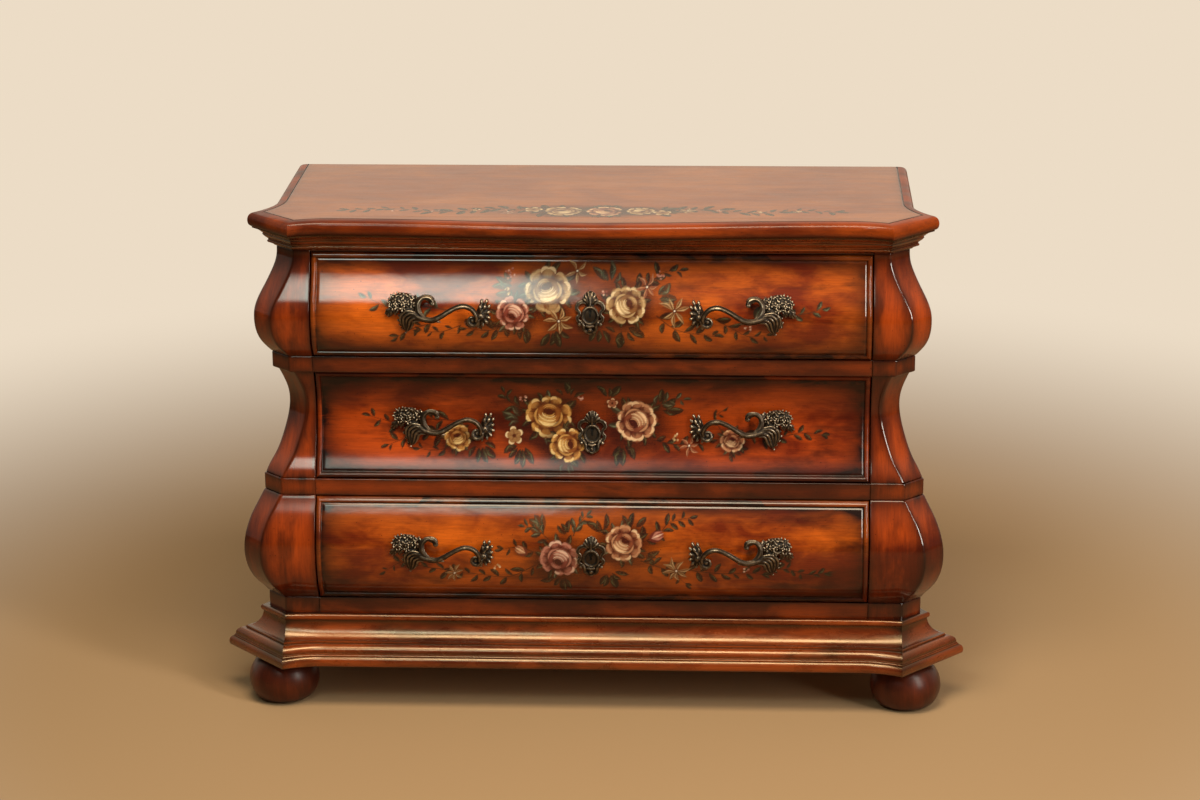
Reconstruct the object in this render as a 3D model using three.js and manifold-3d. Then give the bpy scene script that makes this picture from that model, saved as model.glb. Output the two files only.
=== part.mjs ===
// A bombe chest with three drawers, in burnished wood with cast pulls.
// Millimetres, +Z up. The front faces -Y and +X is to the right of someone facing it.
// The plan is drawn with Y = 0 on the upper rail's front face, then centred on its footprint.
import * as THREE from 'three';
import { mergeVertices } from 'three/addons/utils/BufferGeometryUtils.js';
import Module from 'manifold-3d';

const wasm = await Module();
wasm.setup();

// Driving dimensions: plan of the case
const openingHalfWidth = 469;
const stileWidth = 74;
const cantWidth = 34;
const postDepth = 110;
const sideRecess = 31;
const sideThickness = 18;
const caseDepth = 385;
const backThickness = 6;

// Driving dimensions: heights, from the floor up
const footHeight = 79;
const plinthHeight = 80;
const bottomRailShown = 28;
const lowerOpening = 185;
const lowerRailHeight = 29;
const middleOpening = 183;
const upperRailHeight = 28;
const upperOpening = 179;
const friezeHeight = 2.5;
const corniceHeight = 32.5;
const topThickness = 25;

// Driving dimensions: how far each tier swells or draws in from the upper rail's plane
const neckSetback = 12.5;
const upperBulge = 24.5;
const waistSetback = 23.5;
const lowerPlane = 18;
const lowerBulge = 52.5;

// Driving dimensions: the top's nose line and the plinth's widest line
const noseFrontY = -20;
const noseBow = 23;
const noseCornerInset = 44;
const noseCornerY = -36;
const noseTipReach = 34;
const noseTipY = 44;
const noseSideInset = 4;
const plinthFrontY = -71;
const plinthCornerInset = 16;
const plinthCornerY = -88;
const plinthTipReach = 93;
const plinthTipY = 29;
const plinthSideReach = 28;
const flareEndY = 125;
const topBackOverhang = 7;

// Driving dimensions: boards, rails and clearances
const clearance = 0.3;
const railThickness = 20;
const boardThickness = 18;
const dustThickness = 12;
const dustDrop = 4;
const cleatSize = 25;

// Driving dimensions: drawers
const frontThickness = 20;
const reveal = 2;
const lipWidth = 9;
const lipHeight = 2.5;
const lipEase = 2.5;
const drawerSideThickness = 12;
const drawerSideInset = 14;
const drawerBackGap = 25;
const drawerBottomThickness = 6;
const drawerBottomRise = 8;
const drawerSideDrop = 16;
const ledgeHeight = 5;
const ledgeInset = 16;
const guideHeight = 30;
const guideGap = 1.5;

// Driving dimensions: feet
const footRadius = 60.5;
const footInset = 7;
const frontFootY = -6;
const backFootInset = 65;
const backFootOverhang = 6;
const footBoltRadius = 4;
const footBoltDepth = 34;

// Driving dimensions: pulls and escutcheons
const pullInset = 217;
const upperPullDrop = 5.5;
const middlePullDrop = 6.5;
const lowerPullDrop = -3.5;
const pullReach = 62;
const barRadius = 4.2;
const curlRadius = 3.1;
const barLift = 22;
const studRadius = 2.5;
const studFit = 0.4;
const nutRadius = 6;
const nutThickness = 4;
const escutcheonWidth = 50;
const escutcheonHeight = 73;
const escutcheonThickness = 3;
const upperEscutcheonDrop = 4;
const middleEscutcheonDrop = 13.5;
const lowerEscutcheonDrop = 0;
const keyholeRadius = 3;

// Widths and depths that follow
const postHalfWidth = openingHalfWidth + stileWidth;
const plinthSideX = postHalfWidth + plinthSideReach;
const frontFootX = postHalfWidth - footInset;
const backFootX = plinthSideX - backFootOverhang - footRadius;
const pullX = openingHalfWidth - pullInset;
const drawerSideOutset = openingHalfWidth - drawerSideInset;
const drawerBackY = caseDepth - drawerBackGap;

// Heights that follow
const boardTop = footHeight + boardThickness;
const caseBottom = boardTop + clearance;
const plinthTop = footHeight + plinthHeight;
const lowerFloor = plinthTop + bottomRailShown;
const lowerCeiling = lowerFloor + lowerOpening;
const middleFloor = lowerCeiling + lowerRailHeight;
const middleCeiling = middleFloor + middleOpening;
const upperFloor = middleCeiling + upperRailHeight;
const upperCeiling = upperFloor + upperOpening;
const neckZ = upperCeiling + friezeHeight;
const topUnderside = neckZ + corniceHeight;
const topZ = topUnderside + topThickness;
const caseTop = topUnderside - clearance;
const caseRearY = caseDepth + clearance + backThickness;

// Materials
const paint = (color, roughness, metalness = 0) => ({ color, roughness, metalness });
const finishes = {
  wood: paint(0x8a3d1a, 0.3),
  darkWood: paint(0x5f2713, 0.32),
  drawerWood: paint(0x9c481c, 0.28),
  innerWood: paint(0xb58a5c, 0.7),
  bronze: paint(0x3d3027, 0.42, 0.85),
  steel: paint(0x8c8c88, 0.4, 0.9)
};

const chest = new THREE.Group();

function addPart(group, name, geometry, finish) {
  const mesh = new THREE.Mesh(geometry, new THREE.MeshStandardMaterial(finishes[finish]));
  mesh.name = name;
  group.add(mesh);
  return mesh;
}

// Geometry helpers
function signedVolume(points, triangles) {
  let volume = 0;
  for (let i = 0; i < triangles.length; i += 3) {
    const [a, b, c] = [0, 1, 2].map(k => points[triangles[i + k]]);
    volume += a.dot(new THREE.Vector3().crossVectors(b, c)) / 6;
  }
  return volume;
}

function closedSolid(points, triangles) {
  if (signedVolume(points, triangles) < 0) triangles.reverse();
  const geometry = new THREE.BufferGeometry();
  geometry.setAttribute('position', new THREE.Float32BufferAttribute(points.flatMap(p => p.toArray()), 3));
  geometry.setIndex(triangles);
  return geometry;
}

// A skin through rings of the same number of points, closed at both ends
function loft(rings, flatten) {
  const size = rings[0].length;
  const points = rings.flat();
  const triangles = [];
  for (let r = 0; r < rings.length - 1; r++) {
    for (let i = 0; i < size; i++) {
      const j = (i + 1) % size;
      const [a, b, c, d] = [r * size + i, r * size + j, (r + 1) * size + j, (r + 1) * size + i];
      triangles.push(a, b, c, a, c, d);
    }
  }
  const outline = rings[0].map(flatten);
  const outlineClockwise = THREE.ShapeUtils.isClockWise(outline);
  const last = (rings.length - 1) * size;
  for (const corners of THREE.ShapeUtils.triangulateShape(outline, [])) {
    const clockwise = THREE.ShapeUtils.isClockWise(corners.map(k => outline[k]));
    const [a, b, c] = clockwise === outlineClockwise ? corners : [...corners].reverse();
    triangles.push(c, b, a);
    triangles.push(last + a, last + b, last + c);
  }
  return closedSolid(points, triangles);
}

const fromAbove = p => new THREE.Vector2(p.x, p.y);

// A prism of a plan outline between two heights
function standingPrism(outline, bottom, top) {
  const ring = z => outline.map(([x, y]) => new THREE.Vector3(x, y, z));
  return loft([ring(bottom), ring(top)], fromAbove);
}

// A prism of an outline in the Y-Z plane between two X positions
function crosswisePrism(outline, left, right) {
  const ring = x => outline.map(([y, z]) => new THREE.Vector3(x, y, z));
  return loft([ring(left), ring(right)], p => new THREE.Vector2(p.y, p.z));
}

// A prism of an outline in the X-Z plane between two Y positions
function lengthwisePrism(outline, front, back) {
  const ring = y => outline.map(([x, z]) => new THREE.Vector3(x, y, z));
  return loft([ring(front), ring(back)], p => new THREE.Vector2(p.x, p.z));
}

function block(xRange, yRange, zRange) {
  const size = [xRange, yRange, zRange].map(([low, high]) => high - low);
  const middle = [xRange, yRange, zRange].map(([low, high]) => (low + high) / 2);
  return new THREE.BoxGeometry(...size).translate(...middle);
}

// Joining and cutting
const mergeDistance = 1e-4;

function toManifold(geometry) {
  const bare = geometry.clone();
  bare.deleteAttribute('normal');
  bare.deleteAttribute('uv');
  const merged = mergeVertices(bare, mergeDistance);
  const index = Array.from(merged.index.array);
  const kept = [];
  for (let i = 0; i < index.length; i += 3) {
    const [a, b, c] = index.slice(i, i + 3);
    if (a !== b && b !== c && c !== a) kept.push(a, b, c);
  }
  const vertProperties = new Float32Array(merged.attributes.position.array);
  return new wasm.Manifold(new wasm.Mesh({ numProp: 3, vertProperties, triVerts: new Uint32Array(kept) }));
}

function fromManifold(solid) {
  const { vertProperties, triVerts } = solid.getMesh();
  const geometry = new THREE.BufferGeometry();
  geometry.setAttribute('position', new THREE.BufferAttribute(new Float32Array(vertProperties), 3));
  geometry.setIndex(new THREE.BufferAttribute(new Uint32Array(triVerts), 1));
  return geometry;
}

// A cylinder along Y whose front end is at y
function rodAlongY(radius, length, x, y, z, sides = 8) {
  return new THREE.CylinderGeometry(radius, radius, length, sides).translate(x, y + length / 2, z);
}

// The swelling profile: tables of [height share of the tier, share of the tier's swell], bottom first
const lowerTierShares = [
  [0, 0.03], [0.045, 0.17], [0.11, 0.42], [0.2, 0.7], [0.3, 0.89], [0.41, 0.99], [0.5, 1],
  [0.61, 0.93], [0.72, 0.77], [0.82, 0.55], [0.92, 0.26], [1, 0.03]
];
const middleTierShares = [
  [0, 0.95], [0.08, 0.79], [0.17, 0.56], [0.28, 0.355], [0.4, 0.19], [0.52, 0.06], [0.64, 0],
  [0.75, 0.035], [0.86, 0.165], [1, 0.4]
];
const upperTierShares = [
  [0, 0.34], [0.05, 0.52], [0.12, 0.74], [0.22, 0.925], [0.35, 1], [0.46, 0.95], [0.56, 0.77],
  [0.66, 0.51], [0.76, 0.265], [0.86, 0.07], [0.95, 0], [1, 0]
];

function tierLevels(shares, floor, ceiling, low, high) {
  return shares.map(([h, s]) => ({ z: floor + h * (ceiling - floor), out: low + s * (high - low) }));
}

const lowerTier = tierLevels(lowerTierShares, lowerFloor, lowerCeiling, lowerPlane, lowerBulge);
const middleTier = tierLevels(middleTierShares, middleFloor, middleCeiling, -waistSetback, lowerPlane);
const upperTier = tierLevels(upperTierShares, upperFloor, neckZ, -neckSetback, upperBulge);

// The whole case profile, from the base board to the top's underside
const caseLevels = [
  { z: caseBottom, out: lowerPlane }, { z: lowerFloor, out: lowerPlane },
  ...lowerTier,
  { z: lowerCeiling, out: lowerPlane }, { z: middleFloor, out: lowerPlane },
  ...middleTier,
  { z: middleCeiling, out: 0 }, { z: upperFloor, out: 0 },
  ...upperTier,
  { z: caseTop, out: -neckSetback }
];

// How far the face stands out at a height of one tier
function standOut(levels, z) {
  if (z <= levels[0].z) return levels[0].out;
  for (let i = 1; i < levels.length; i++) {
    const [a, b] = [levels[i - 1], levels[i]];
    if (z <= b.z) return a.out + (b.out - a.out) * (z - a.z) / (b.z - a.z);
  }
  return levels[levels.length - 1].out;
}

// Plan outlines: stations along one half, from the middle of the front round to the back
const frontStationShares = [0, 0.2, 0.4, 0.6, 0.78, 0.87, 0.915, 0.96, 1];
const frontFlareShare = 0.87;
const bowEndShare = 0.86;
const sideStationShares = [0, 0.14, 0.32, 0.6, 1];
const cornerStation = frontStationShares.length - 1;

function halfPlan(plan) {
  const stations = frontStationShares.map(u => {
    const bend = Math.max(0, (u - frontFlareShare) / (1 - frontFlareShare));
    const bow = plan.bow * Math.cos(Math.min(1, u / bowEndShare) * Math.PI / 2) ** 2;
    return [plan.cornerX * u, plan.frontY - bow - (plan.frontY - plan.cornerY) * bend ** 2];
  });
  for (const v of sideStationShares) {
    const x = plan.sideX + (plan.tipX - plan.sideX) * (1 - v) ** 2;
    stations.push([x, plan.tipY + (plan.flareY - plan.tipY) * v]);
  }
  stations.push([plan.sideX, plan.backY]);
  return stations;
}

function casePlan(out) {
  return {
    frontY: -out, bow: 0, cornerX: postHalfWidth + out - cantWidth, cornerY: -out,
    tipX: postHalfWidth + out, tipY: cantWidth - out, sideX: postHalfWidth + out - sideRecess,
    flareY: postDepth, backY: caseRearY
  };
}

const nosePlan = {
  frontY: noseFrontY, bow: noseBow, cornerX: postHalfWidth - noseCornerInset, cornerY: noseCornerY,
  tipX: postHalfWidth + noseTipReach, tipY: noseTipY, sideX: postHalfWidth - noseSideInset,
  flareY: flareEndY, backY: caseRearY
};
const plinthPlan = {
  frontY: plinthFrontY, bow: 0, cornerX: postHalfWidth - plinthCornerInset, cornerY: plinthCornerY,
  tipX: postHalfWidth + plinthTipReach, tipY: plinthTipY, sideX: plinthSideX,
  flareY: flareEndY, backY: caseRearY
};

function between(inner, outer, share) {
  return inner.map(([x, y], i) => [x + (outer[i][0] - x) * share, y + (outer[i][1] - y) * share]);
}

const mirrored = half => half.map(([x, y]) => [-x, y]);
const closedPlan = half => [...mirrored(half.slice(1)).reverse(), ...half];

// One run of moulding: its section is carried along the stations and stretched between two plans
function mouldingRun(section, inner, outer) {
  const rings = inner.map((start, i) => section.map(([share, z]) => new THREE.Vector3(
    start[0] + (outer[i][0] - start[0]) * share, start[1] + (outer[i][1] - start[1]) * share, z)));
  const along = i => {
    const [dx, dy] = [outer[i][0] - inner[i][0], outer[i][1] - inner[i][1]];
    const length = Math.hypot(dx, dy);
    return p => new THREE.Vector2((p.x * dx + p.y * dy) / length, p.z);
  };
  return loft(rings, along(0));
}

// A frame of mouldings: a front run mitred at the corners to a left and a right run
function addMouldings(name, section, innerPlan, outerPlan) {
  const [inner, outer] = [halfPlan(innerPlan), halfPlan(outerPlan)];
  const front = half => {
    const run = half.slice(0, cornerStation + 1);
    run[cornerStation] = [run[cornerStation][0] - clearance, run[cornerStation][1]];
    return [...mirrored(run.slice(1)).reverse(), ...run];
  };
  const side = half => half.slice(cornerStation);
  addPart(chest, `${name}_front`, mouldingRun(section, front(inner), front(outer)), 'darkWood');
  addPart(chest, `${name}_right`, mouldingRun(section, side(inner), side(outer)), 'darkWood');
  const [leftInner, leftOuter] = [mirrored(side(inner)), mirrored(side(outer))];
  addPart(chest, `${name}_left`, mouldingRun(section, leftInner, leftOuter), 'darkWood');
}

// Top panel: a flat field inside a scribed line, falling to a rounded nose
const topEdgeShares = [[0.86, 1], [0.9, 0.96], [0.98, 0.78], [1, 0.56], [0.93, 0.34], [0.8, 0.16], [0.62, 0.04],
  [0.4, 0]];
const neckPlan = casePlan(-neckSetback);
const topBackY = caseDepth + topBackOverhang;
const topInner = halfPlan({ ...neckPlan, backY: topBackY });
const topOuter = halfPlan({ ...nosePlan, backY: topBackY });
const topRings = topEdgeShares.map(([share, drop]) => closedPlan(between(topInner, topOuter, share))
  .map(([x, y]) => new THREE.Vector3(x, y, topZ - drop * topThickness)));
addPart(chest, 'top_panel', loft(topRings, fromAbove), 'wood');

// Cornice moulding: [share of the way out to the nose, share of the cornice's depth from its top]
const corniceShares = [[0, 0], [0.84, 0], [0.84, 0.07], [0.51, 0.28], [0.46, 0.43], [0.36, 0.57], [0.28, 0.64],
  [0.28, 0.83], [0.04, 1], [0, 1]];
const corniceSection = corniceShares.map(([share, drop]) => [share, caseTop - drop * (caseTop - neckZ)]);
addMouldings('cornice', corniceSection, casePlan(clearance - neckSetback), nosePlan);

// Plinth moulding, with a rebate over the base board: [share of the way out, share of its height]
const rebateShare = 0.62;
const plinthShares = [[0.97, 0], [1, 0.03], [1, 0.12], [0.965, 0.18], [0.9, 0.225], [0.87, 0.245],
  [0.84, 0.265], [0.83, 0.295], [0.8, 0.35], [0.7, 0.42], [0.6, 0.45], [0.55, 0.49], [0.48, 0.5],
  [0.36, 0.545], [0.25, 0.63], [0.165, 0.75], [0.14, 0.87], [0.2, 0.92], [0.19, 0.975], [0.12, 1], [0, 1]];
const plinthSection = [
  ...plinthShares.map(([share, rise]) => [share, footHeight + rise * plinthHeight]),
  [0, caseBottom], [rebateShare, caseBottom], [rebateShare, footHeight]
];
addMouldings('plinth', plinthSection, casePlan(lowerPlane + clearance), plinthPlan);

// Base board, inside the plinth's rebate
const boardInner = halfPlan({ ...casePlan(lowerPlane), backY: caseDepth });
const boardOuter = halfPlan({ ...plinthPlan, backY: caseDepth });
const rebateDepth = rebateShare * (plinthSideX - casePlan(lowerPlane).sideX);
const boardShare = rebateShare * (1 - 2 * clearance / rebateDepth);
const boardPlan = closedPlan(between(boardInner, boardOuter, boardShare));
const backFootY = caseDepth - backFootInset;
const footPlaces = [['front_left', -frontFootX, frontFootY], ['front_right', frontFootX, frontFootY],
  ['back_left', -backFootX, backFootY], ['back_right', backFootX, backFootY]];
const boltHole = (x, y) => new THREE.CylinderGeometry(footBoltRadius + clearance,
  footBoltRadius + clearance, footHeight, 12).rotateX(Math.PI / 2).translate(x, y, boardTop);
let board = toManifold(standingPrism(boardPlan, footHeight, boardTop));
for (const [, x, y] of footPlaces) board = board.subtract(toManifold(boltHole(x, y)));
addPart(chest, 'base_board', fromManifold(board), 'innerWood');

// Bun feet, each on a bolt through the base board: [share of the radius, share of the height]
const bunShares = [[0, 0], [0.55, 0], [0.76, 0.07], [0.92, 0.2], [1, 0.45], [0.95, 0.68], [0.8, 0.87],
  [0.66, 0.95], [0.66, 1], [0, 1]];
const bunHeight = footHeight - clearance;
const boltLength = boardTop - footHeight + footBoltDepth;
for (const [place, x, y] of footPlaces) {
  const outline = bunShares.map(([r, h]) => new THREE.Vector2(r * footRadius, h * bunHeight));
  const bun = new THREE.LatheGeometry(outline, 20).rotateX(Math.PI / 2).translate(x, y, 0);
  const socket = new THREE.CylinderGeometry(footBoltRadius + clearance, footBoltRadius + clearance,
    2 * (footBoltDepth + clearance), 12).rotateX(Math.PI / 2).translate(x, y, footHeight);
  addPart(chest, `foot_${place}`, fromManifold(toManifold(bun).subtract(toManifold(socket))), 'darkWood');
  const bolt = new THREE.CylinderGeometry(footBoltRadius, footBoltRadius, boltLength, 12);
  const boltMesh = addPart(chest, `foot_bolt_${place}`, bolt, 'steel');
  boltMesh.rotation.x = Math.PI / 2;
  boltMesh.position.set(x, y, boardTop - boltLength / 2);
}

// Front corner posts: stile face, canted face and a side face that flares back to the side panel
function postRing(side, { z, out }) {
  const half = halfPlan(casePlan(out)).slice(cornerStation, -1);
  const plan = [[openingHalfWidth, -out], ...half, [openingHalfWidth, postDepth]];
  return plan.map(([x, y]) => new THREE.Vector3(side * x, y, z));
}

// Side panels: a swelling board behind each post
function sideRing(side, { z, out }) {
  const outer = postHalfWidth + out - sideRecess;
  const [front, back] = [postDepth + clearance, caseDepth];
  const plan = [[outer, front], [outer, back], [outer - sideThickness, back], [outer - sideThickness, front]];
  return plan.map(([x, y]) => new THREE.Vector3(side * x, y, z));
}

for (const [name, side] of [['left', -1], ['right', 1]]) {
  addPart(chest, `${name}_front_post`, loft(caseLevels.map(l => postRing(side, l)), fromAbove), 'wood');
  addPart(chest, `${name}_side_panel`, loft(caseLevels.map(l => sideRing(side, l)), fromAbove), 'wood');
}

// Back panel, over the rear edges of the sides
const backInset = 1;
const backEdge = caseLevels.map(({ z, out }) => [postHalfWidth + out - sideRecess - backInset, z]);
const backOutline = [...backEdge, ...mirrored(backEdge).reverse()];
addPart(chest, 'back_panel', lengthwisePrism(backOutline, caseDepth + clearance, caseRearY), 'innerWood');

// Rails across the front, between the posts
const railHalfWidth = openingHalfWidth - clearance;
function addRail(name, out, bottom, top) {
  const geometry = block([-railHalfWidth, railHalfWidth], [-out, railThickness - out], [bottom, top]);
  addPart(chest, name, geometry, 'wood');
}
addRail('top_rail', -neckSetback, upperCeiling, caseTop);
addRail('upper_rail', 0, middleCeiling, upperFloor);
addRail('lower_rail', lowerPlane, lowerCeiling, middleFloor);
addRail('bottom_rail', lowerPlane, caseBottom, lowerFloor);

// Dust panels behind the rails, notched round the posts
function addDustPanel(name, out, floor) {
  const [top, bottom] = [floor - dustDrop, floor - dustDrop - dustThickness];
  const wide = postHalfWidth + Math.min(out, standOut(caseLevels, bottom)) - sideRecess - sideThickness - clearance;
  const front = railThickness - out + clearance;
  const notch = postDepth + clearance;
  const back = caseDepth - clearance;
  const half = [[railHalfWidth, front], [railHalfWidth, notch], [wide, notch], [wide, back]];
  addPart(chest, name, standingPrism([...half, ...mirrored(half).reverse()], bottom, top), 'innerWood');
}
addDustPanel('bottom_dust_panel', lowerPlane, lowerFloor);
addDustPanel('lower_dust_panel', lowerPlane, middleFloor);
addDustPanel('upper_dust_panel', 0, upperFloor);

// Cleats that hold the top, along the sides
const cleatOuter = postHalfWidth - neckSetback - sideRecess - sideThickness - clearance;
for (const [name, side] of [['left', -1], ['right', 1]]) {
  const xRange = [side * cleatOuter, side * (cleatOuter - cleatSize)].sort((a, b) => a - b);
  const yRange = [postDepth + clearance, caseDepth - clearance];
  addPart(chest, `${name}_top_cleat`, block(xRange, yRange, [caseTop - cleatSize, caseTop]), 'innerWood');
}

// Drawers
const frontHalfWidth = openingHalfWidth - reveal;
const sideInner = drawerSideOutset - drawerSideThickness;

// A drawer front: its face follows the tier and carries a raised lip round its edge
function drawerFront(levels, bottom, top) {
  const edge = [0, lipEase, lipWidth - lipEase, lipWidth];
  const rise = d => {
    if (d < lipEase) return lipHeight * d / lipEase;
    return lipHeight * Math.min(1, Math.max(0, (lipWidth - d) / lipEase));
  };
  const columns = [...edge.map(d => d - frontHalfWidth), ...edge.map(d => frontHalfWidth - d).reverse()];
  const inner = levels.map(l => l.z).filter(z => z > bottom + lipWidth + reveal && z < top - lipWidth - reveal);
  const rows = [...edge.map(d => bottom + d), ...inner, ...edge.map(d => top - d).reverse()];
  const rings = rows.map(z => {
    const face = columns.map(x => {
      const lip = Math.max(rise(frontHalfWidth - Math.abs(x)), rise(Math.min(z - bottom, top - z)));
      return new THREE.Vector3(x, -standOut(levels, z) - lip, z);
    });
    const rear = frontThickness - standOut(levels, z);
    return [...face, new THREE.Vector3(frontHalfWidth, rear, z), new THREE.Vector3(-frontHalfWidth, rear, z)];
  });
  return loft(rings, fromAbove);
}

// Everything behind a tier's face, grown by the clearance, to cut whatever is seated on it
function faceBlock(levels, width, x, growth) {
  const rings = levels.map(({ z, out }) => [
    [x - width, -out - growth], [x + width, -out - growth], [x + width, frontThickness + lowerBulge],
    [x - width, frontThickness + lowerBulge]
  ].map(([px, py]) => new THREE.Vector3(px, py, z)));
  return toManifold(loft(rings, fromAbove));
}

// Pull: [share of the reach along the bar, share of the reach upwards, share of the lift off the face]
const barShares = [[-1, 0.1, 0.25], [-0.8, 0.02, 0.7], [-0.45, -0.11, 0.95], [-0.1, -0.07, 1], [0.25, 0.08, 1],
  [0.57, 0.22, 0.9], [0.8, 0.2, 0.85], [0.98, 0.08, 0.8], [1.07, -0.12, 0.75], [1.16, -0.08, 0.5], [1.24, 0, 0.3]];
const curlShares = [[-0.5, -0.1, 0.95], [-0.6, 0.1, 0.9], [-0.62, 0.28, 0.7], [-0.42, 0.47, 0.65],
  [-0.2, 0.45, 0.65], [-0.12, 0.32, 0.65], [-0.24, 0.26, 0.65]];
// Lumps of the casting: [centre along, centre up, centre out, half length, half height, half depth]
const lumpShares = [
  [-1.06, 0.25, 0.22, 0.38, 0.25, 0.5], [-1.32, 0.36, 0.18, 0.14, 0.14, 0.36],
  [-0.94, -0.2, 0.1, 0.2, 0.4, 0.3], [1.26, 0, 0.16, 0.15, 0.4, 0.36]
];
const studShares = [-1.02, 1.26];
const tubeSides = 6;

function castTube(shares, radius, place) {
  const path = new THREE.CatmullRomCurve3(shares.map(place));
  const section = new THREE.Shape();
  for (let i = 0; i < tubeSides; i++) {
    const turn = i * 2 * Math.PI / tubeSides;
    section.lineTo(radius * Math.cos(turn), radius * Math.sin(turn));
  }
  const options = { steps: shares.length + 1, curveSegments: 1, bevelEnabled: false, extrudePath: path };
  return toManifold(new THREE.ExtrudeGeometry(section, options));
}

function pullGeometry(levels, side, z) {
  const face = -standOut(levels, z);
  const place = ([along, up, out]) => new THREE.Vector3(side * (pullX - along * pullReach),
    face - out * barLift, z + up * pullReach);
  let casting = castTube(barShares, barRadius, place);
  casting = casting.add(castTube(curlShares, curlRadius, place));
  for (const [along, up, out, length, height, depth] of lumpShares) {
    const centre = place([along, up, out]);
    const seat = face + standOut(levels, centre.z);
    const lump = new THREE.SphereGeometry(1, 8, 4)
      .scale(length * pullReach, depth * barLift, height * pullReach)
      .translate(centre.x, centre.y - seat, centre.z);
    casting = casting.add(toManifold(lump));
  }
  casting = casting.subtract(faceBlock(levels, 2 * pullReach, side * pullX, clearance));
  for (const along of studShares) {
    const start = place([along, 0, 0]);
    const front = start.y - barRadius;
    const nutY = frontThickness - standOut(levels, z) + nutFace(levels, z);
    casting = casting.add(toManifold(rodAlongY(studRadius, nutY + nutThickness - front, start.x, front, start.z)));
    casting = casting.add(toManifold(rodAlongY(nutRadius, nutThickness, start.x, nutY, start.z, 6)));
  }
  return casting;
}

// How far behind the front's rear face a nut has to start to clear the slope of that face
function nutFace(levels, z) {
  const drops = [-1, 1].map(turn => standOut(levels, z) - standOut(levels, z + turn * nutRadius));
  return Math.max(0, ...drops) + clearance;
}

// Escutcheon: a lobed plate that follows the face, pierced with a keyhole
const lobeShares = [[0, -0.5], [0.14, -0.44], [0.26, -0.36], [0.38, -0.22], [0.36, -0.12], [0.48, 0], [0.4, 0.12],
  [0.5, 0.24], [0.34, 0.3], [0.24, 0.4], [0.12, 0.42], [0, 0.5]];
function escutcheonGeometry(levels, z) {
  const right = lobeShares.map(([x, y]) => [x * escutcheonWidth, y * escutcheonHeight]);
  const outline = [...right, ...mirrored(right.slice(1, -1)).reverse()];
  const plate = toManifold(lengthwisePrism(outline.map(([x, dz]) => [x, z + dz]),
    -lowerBulge - escutcheonThickness - lipHeight, frontThickness + lowerBulge));
  const depth = lowerBulge + frontThickness;
  const hole = toManifold(rodAlongY(keyholeRadius, 2 * depth, 0, -depth, z + keyholeRadius));
  const slot = toManifold(block([-keyholeRadius / 2, keyholeRadius / 2], [-depth, depth],
    [z - 2 * keyholeRadius, z + keyholeRadius]));
  return plate.intersect(faceBlock(levels, escutcheonWidth, 0, clearance + escutcheonThickness))
    .subtract(faceBlock(levels, escutcheonWidth, 0, clearance)).subtract(hole).subtract(slot);
}

// The highest and lowest rear face of a drawer front between two heights
function rearFace(levels, low, high, pick) {
  const heights = [low, high, ...levels.map(l => l.z).filter(z => z > low && z < high)];
  return pick(...heights.map(z => frontThickness - standOut(levels, z)));
}

function addDrawer(name, levels, floor, ceiling, pullDrop, escutcheonDrop) {
  const drawer = new THREE.Group();
  const [bottom, top] = [floor + reveal, ceiling - reveal];
  const sideBottom = floor + ledgeHeight + clearance;
  const sideTop = top - drawerSideDrop;
  const pullZ = (bottom + top) / 2 - pullDrop;
  const plateZ = (bottom + top) / 2 - escutcheonDrop;

  let front = toManifold(drawerFront(levels, bottom, top));
  for (const side of [-1, 1]) {
    for (const along of studShares) {
      const x = side * (pullX - along * pullReach);
      const hole = rodAlongY(studRadius + studFit, 2 * (frontThickness + lowerBulge), x,
        -frontThickness - lowerBulge, pullZ);
      front = front.subtract(toManifold(hole));
    }
  }
  addPart(drawer, `${name}_drawer_front`, fromManifold(front), 'drawerWood');

  const curve = [sideBottom, ...levels.map(l => l.z).filter(z => z > sideBottom && z < sideTop), sideTop]
    .map(z => [frontThickness - standOut(levels, z) + clearance, z]);
  const sideOutline = [...curve, [drawerBackY, sideTop], [drawerBackY, sideBottom]];
  addPart(drawer, `${name}_drawer_left_side`,
    crosswisePrism(sideOutline, -drawerSideOutset, -sideInner), 'innerWood');
  addPart(drawer, `${name}_drawer_right_side`,
    crosswisePrism(sideOutline, sideInner, drawerSideOutset), 'innerWood');

  const panelBottom = sideBottom + drawerBottomRise;
  const panelTop = panelBottom + drawerBottomThickness;
  const fitWidth = sideInner - clearance;
  const panelFront = rearFace(levels, panelBottom, panelTop, Math.max) + clearance;
  addPart(drawer, `${name}_drawer_bottom`,
    block([-fitWidth, fitWidth], [panelFront, drawerBackY], [panelBottom, panelTop]), 'innerWood');
  addPart(drawer, `${name}_drawer_back`, block([-fitWidth, fitWidth],
    [drawerBackY - drawerSideThickness, drawerBackY], [panelTop + clearance, sideTop]), 'innerWood');

  addPart(drawer, `${name}_left_pull`, fromManifold(pullGeometry(levels, -1, pullZ)), 'bronze');
  addPart(drawer, `${name}_right_pull`, fromManifold(pullGeometry(levels, 1, pullZ)), 'bronze');
  addPart(drawer, `${name}_escutcheon`, fromManifold(escutcheonGeometry(levels, plateZ)), 'bronze');
  chest.add(drawer);
}

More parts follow.
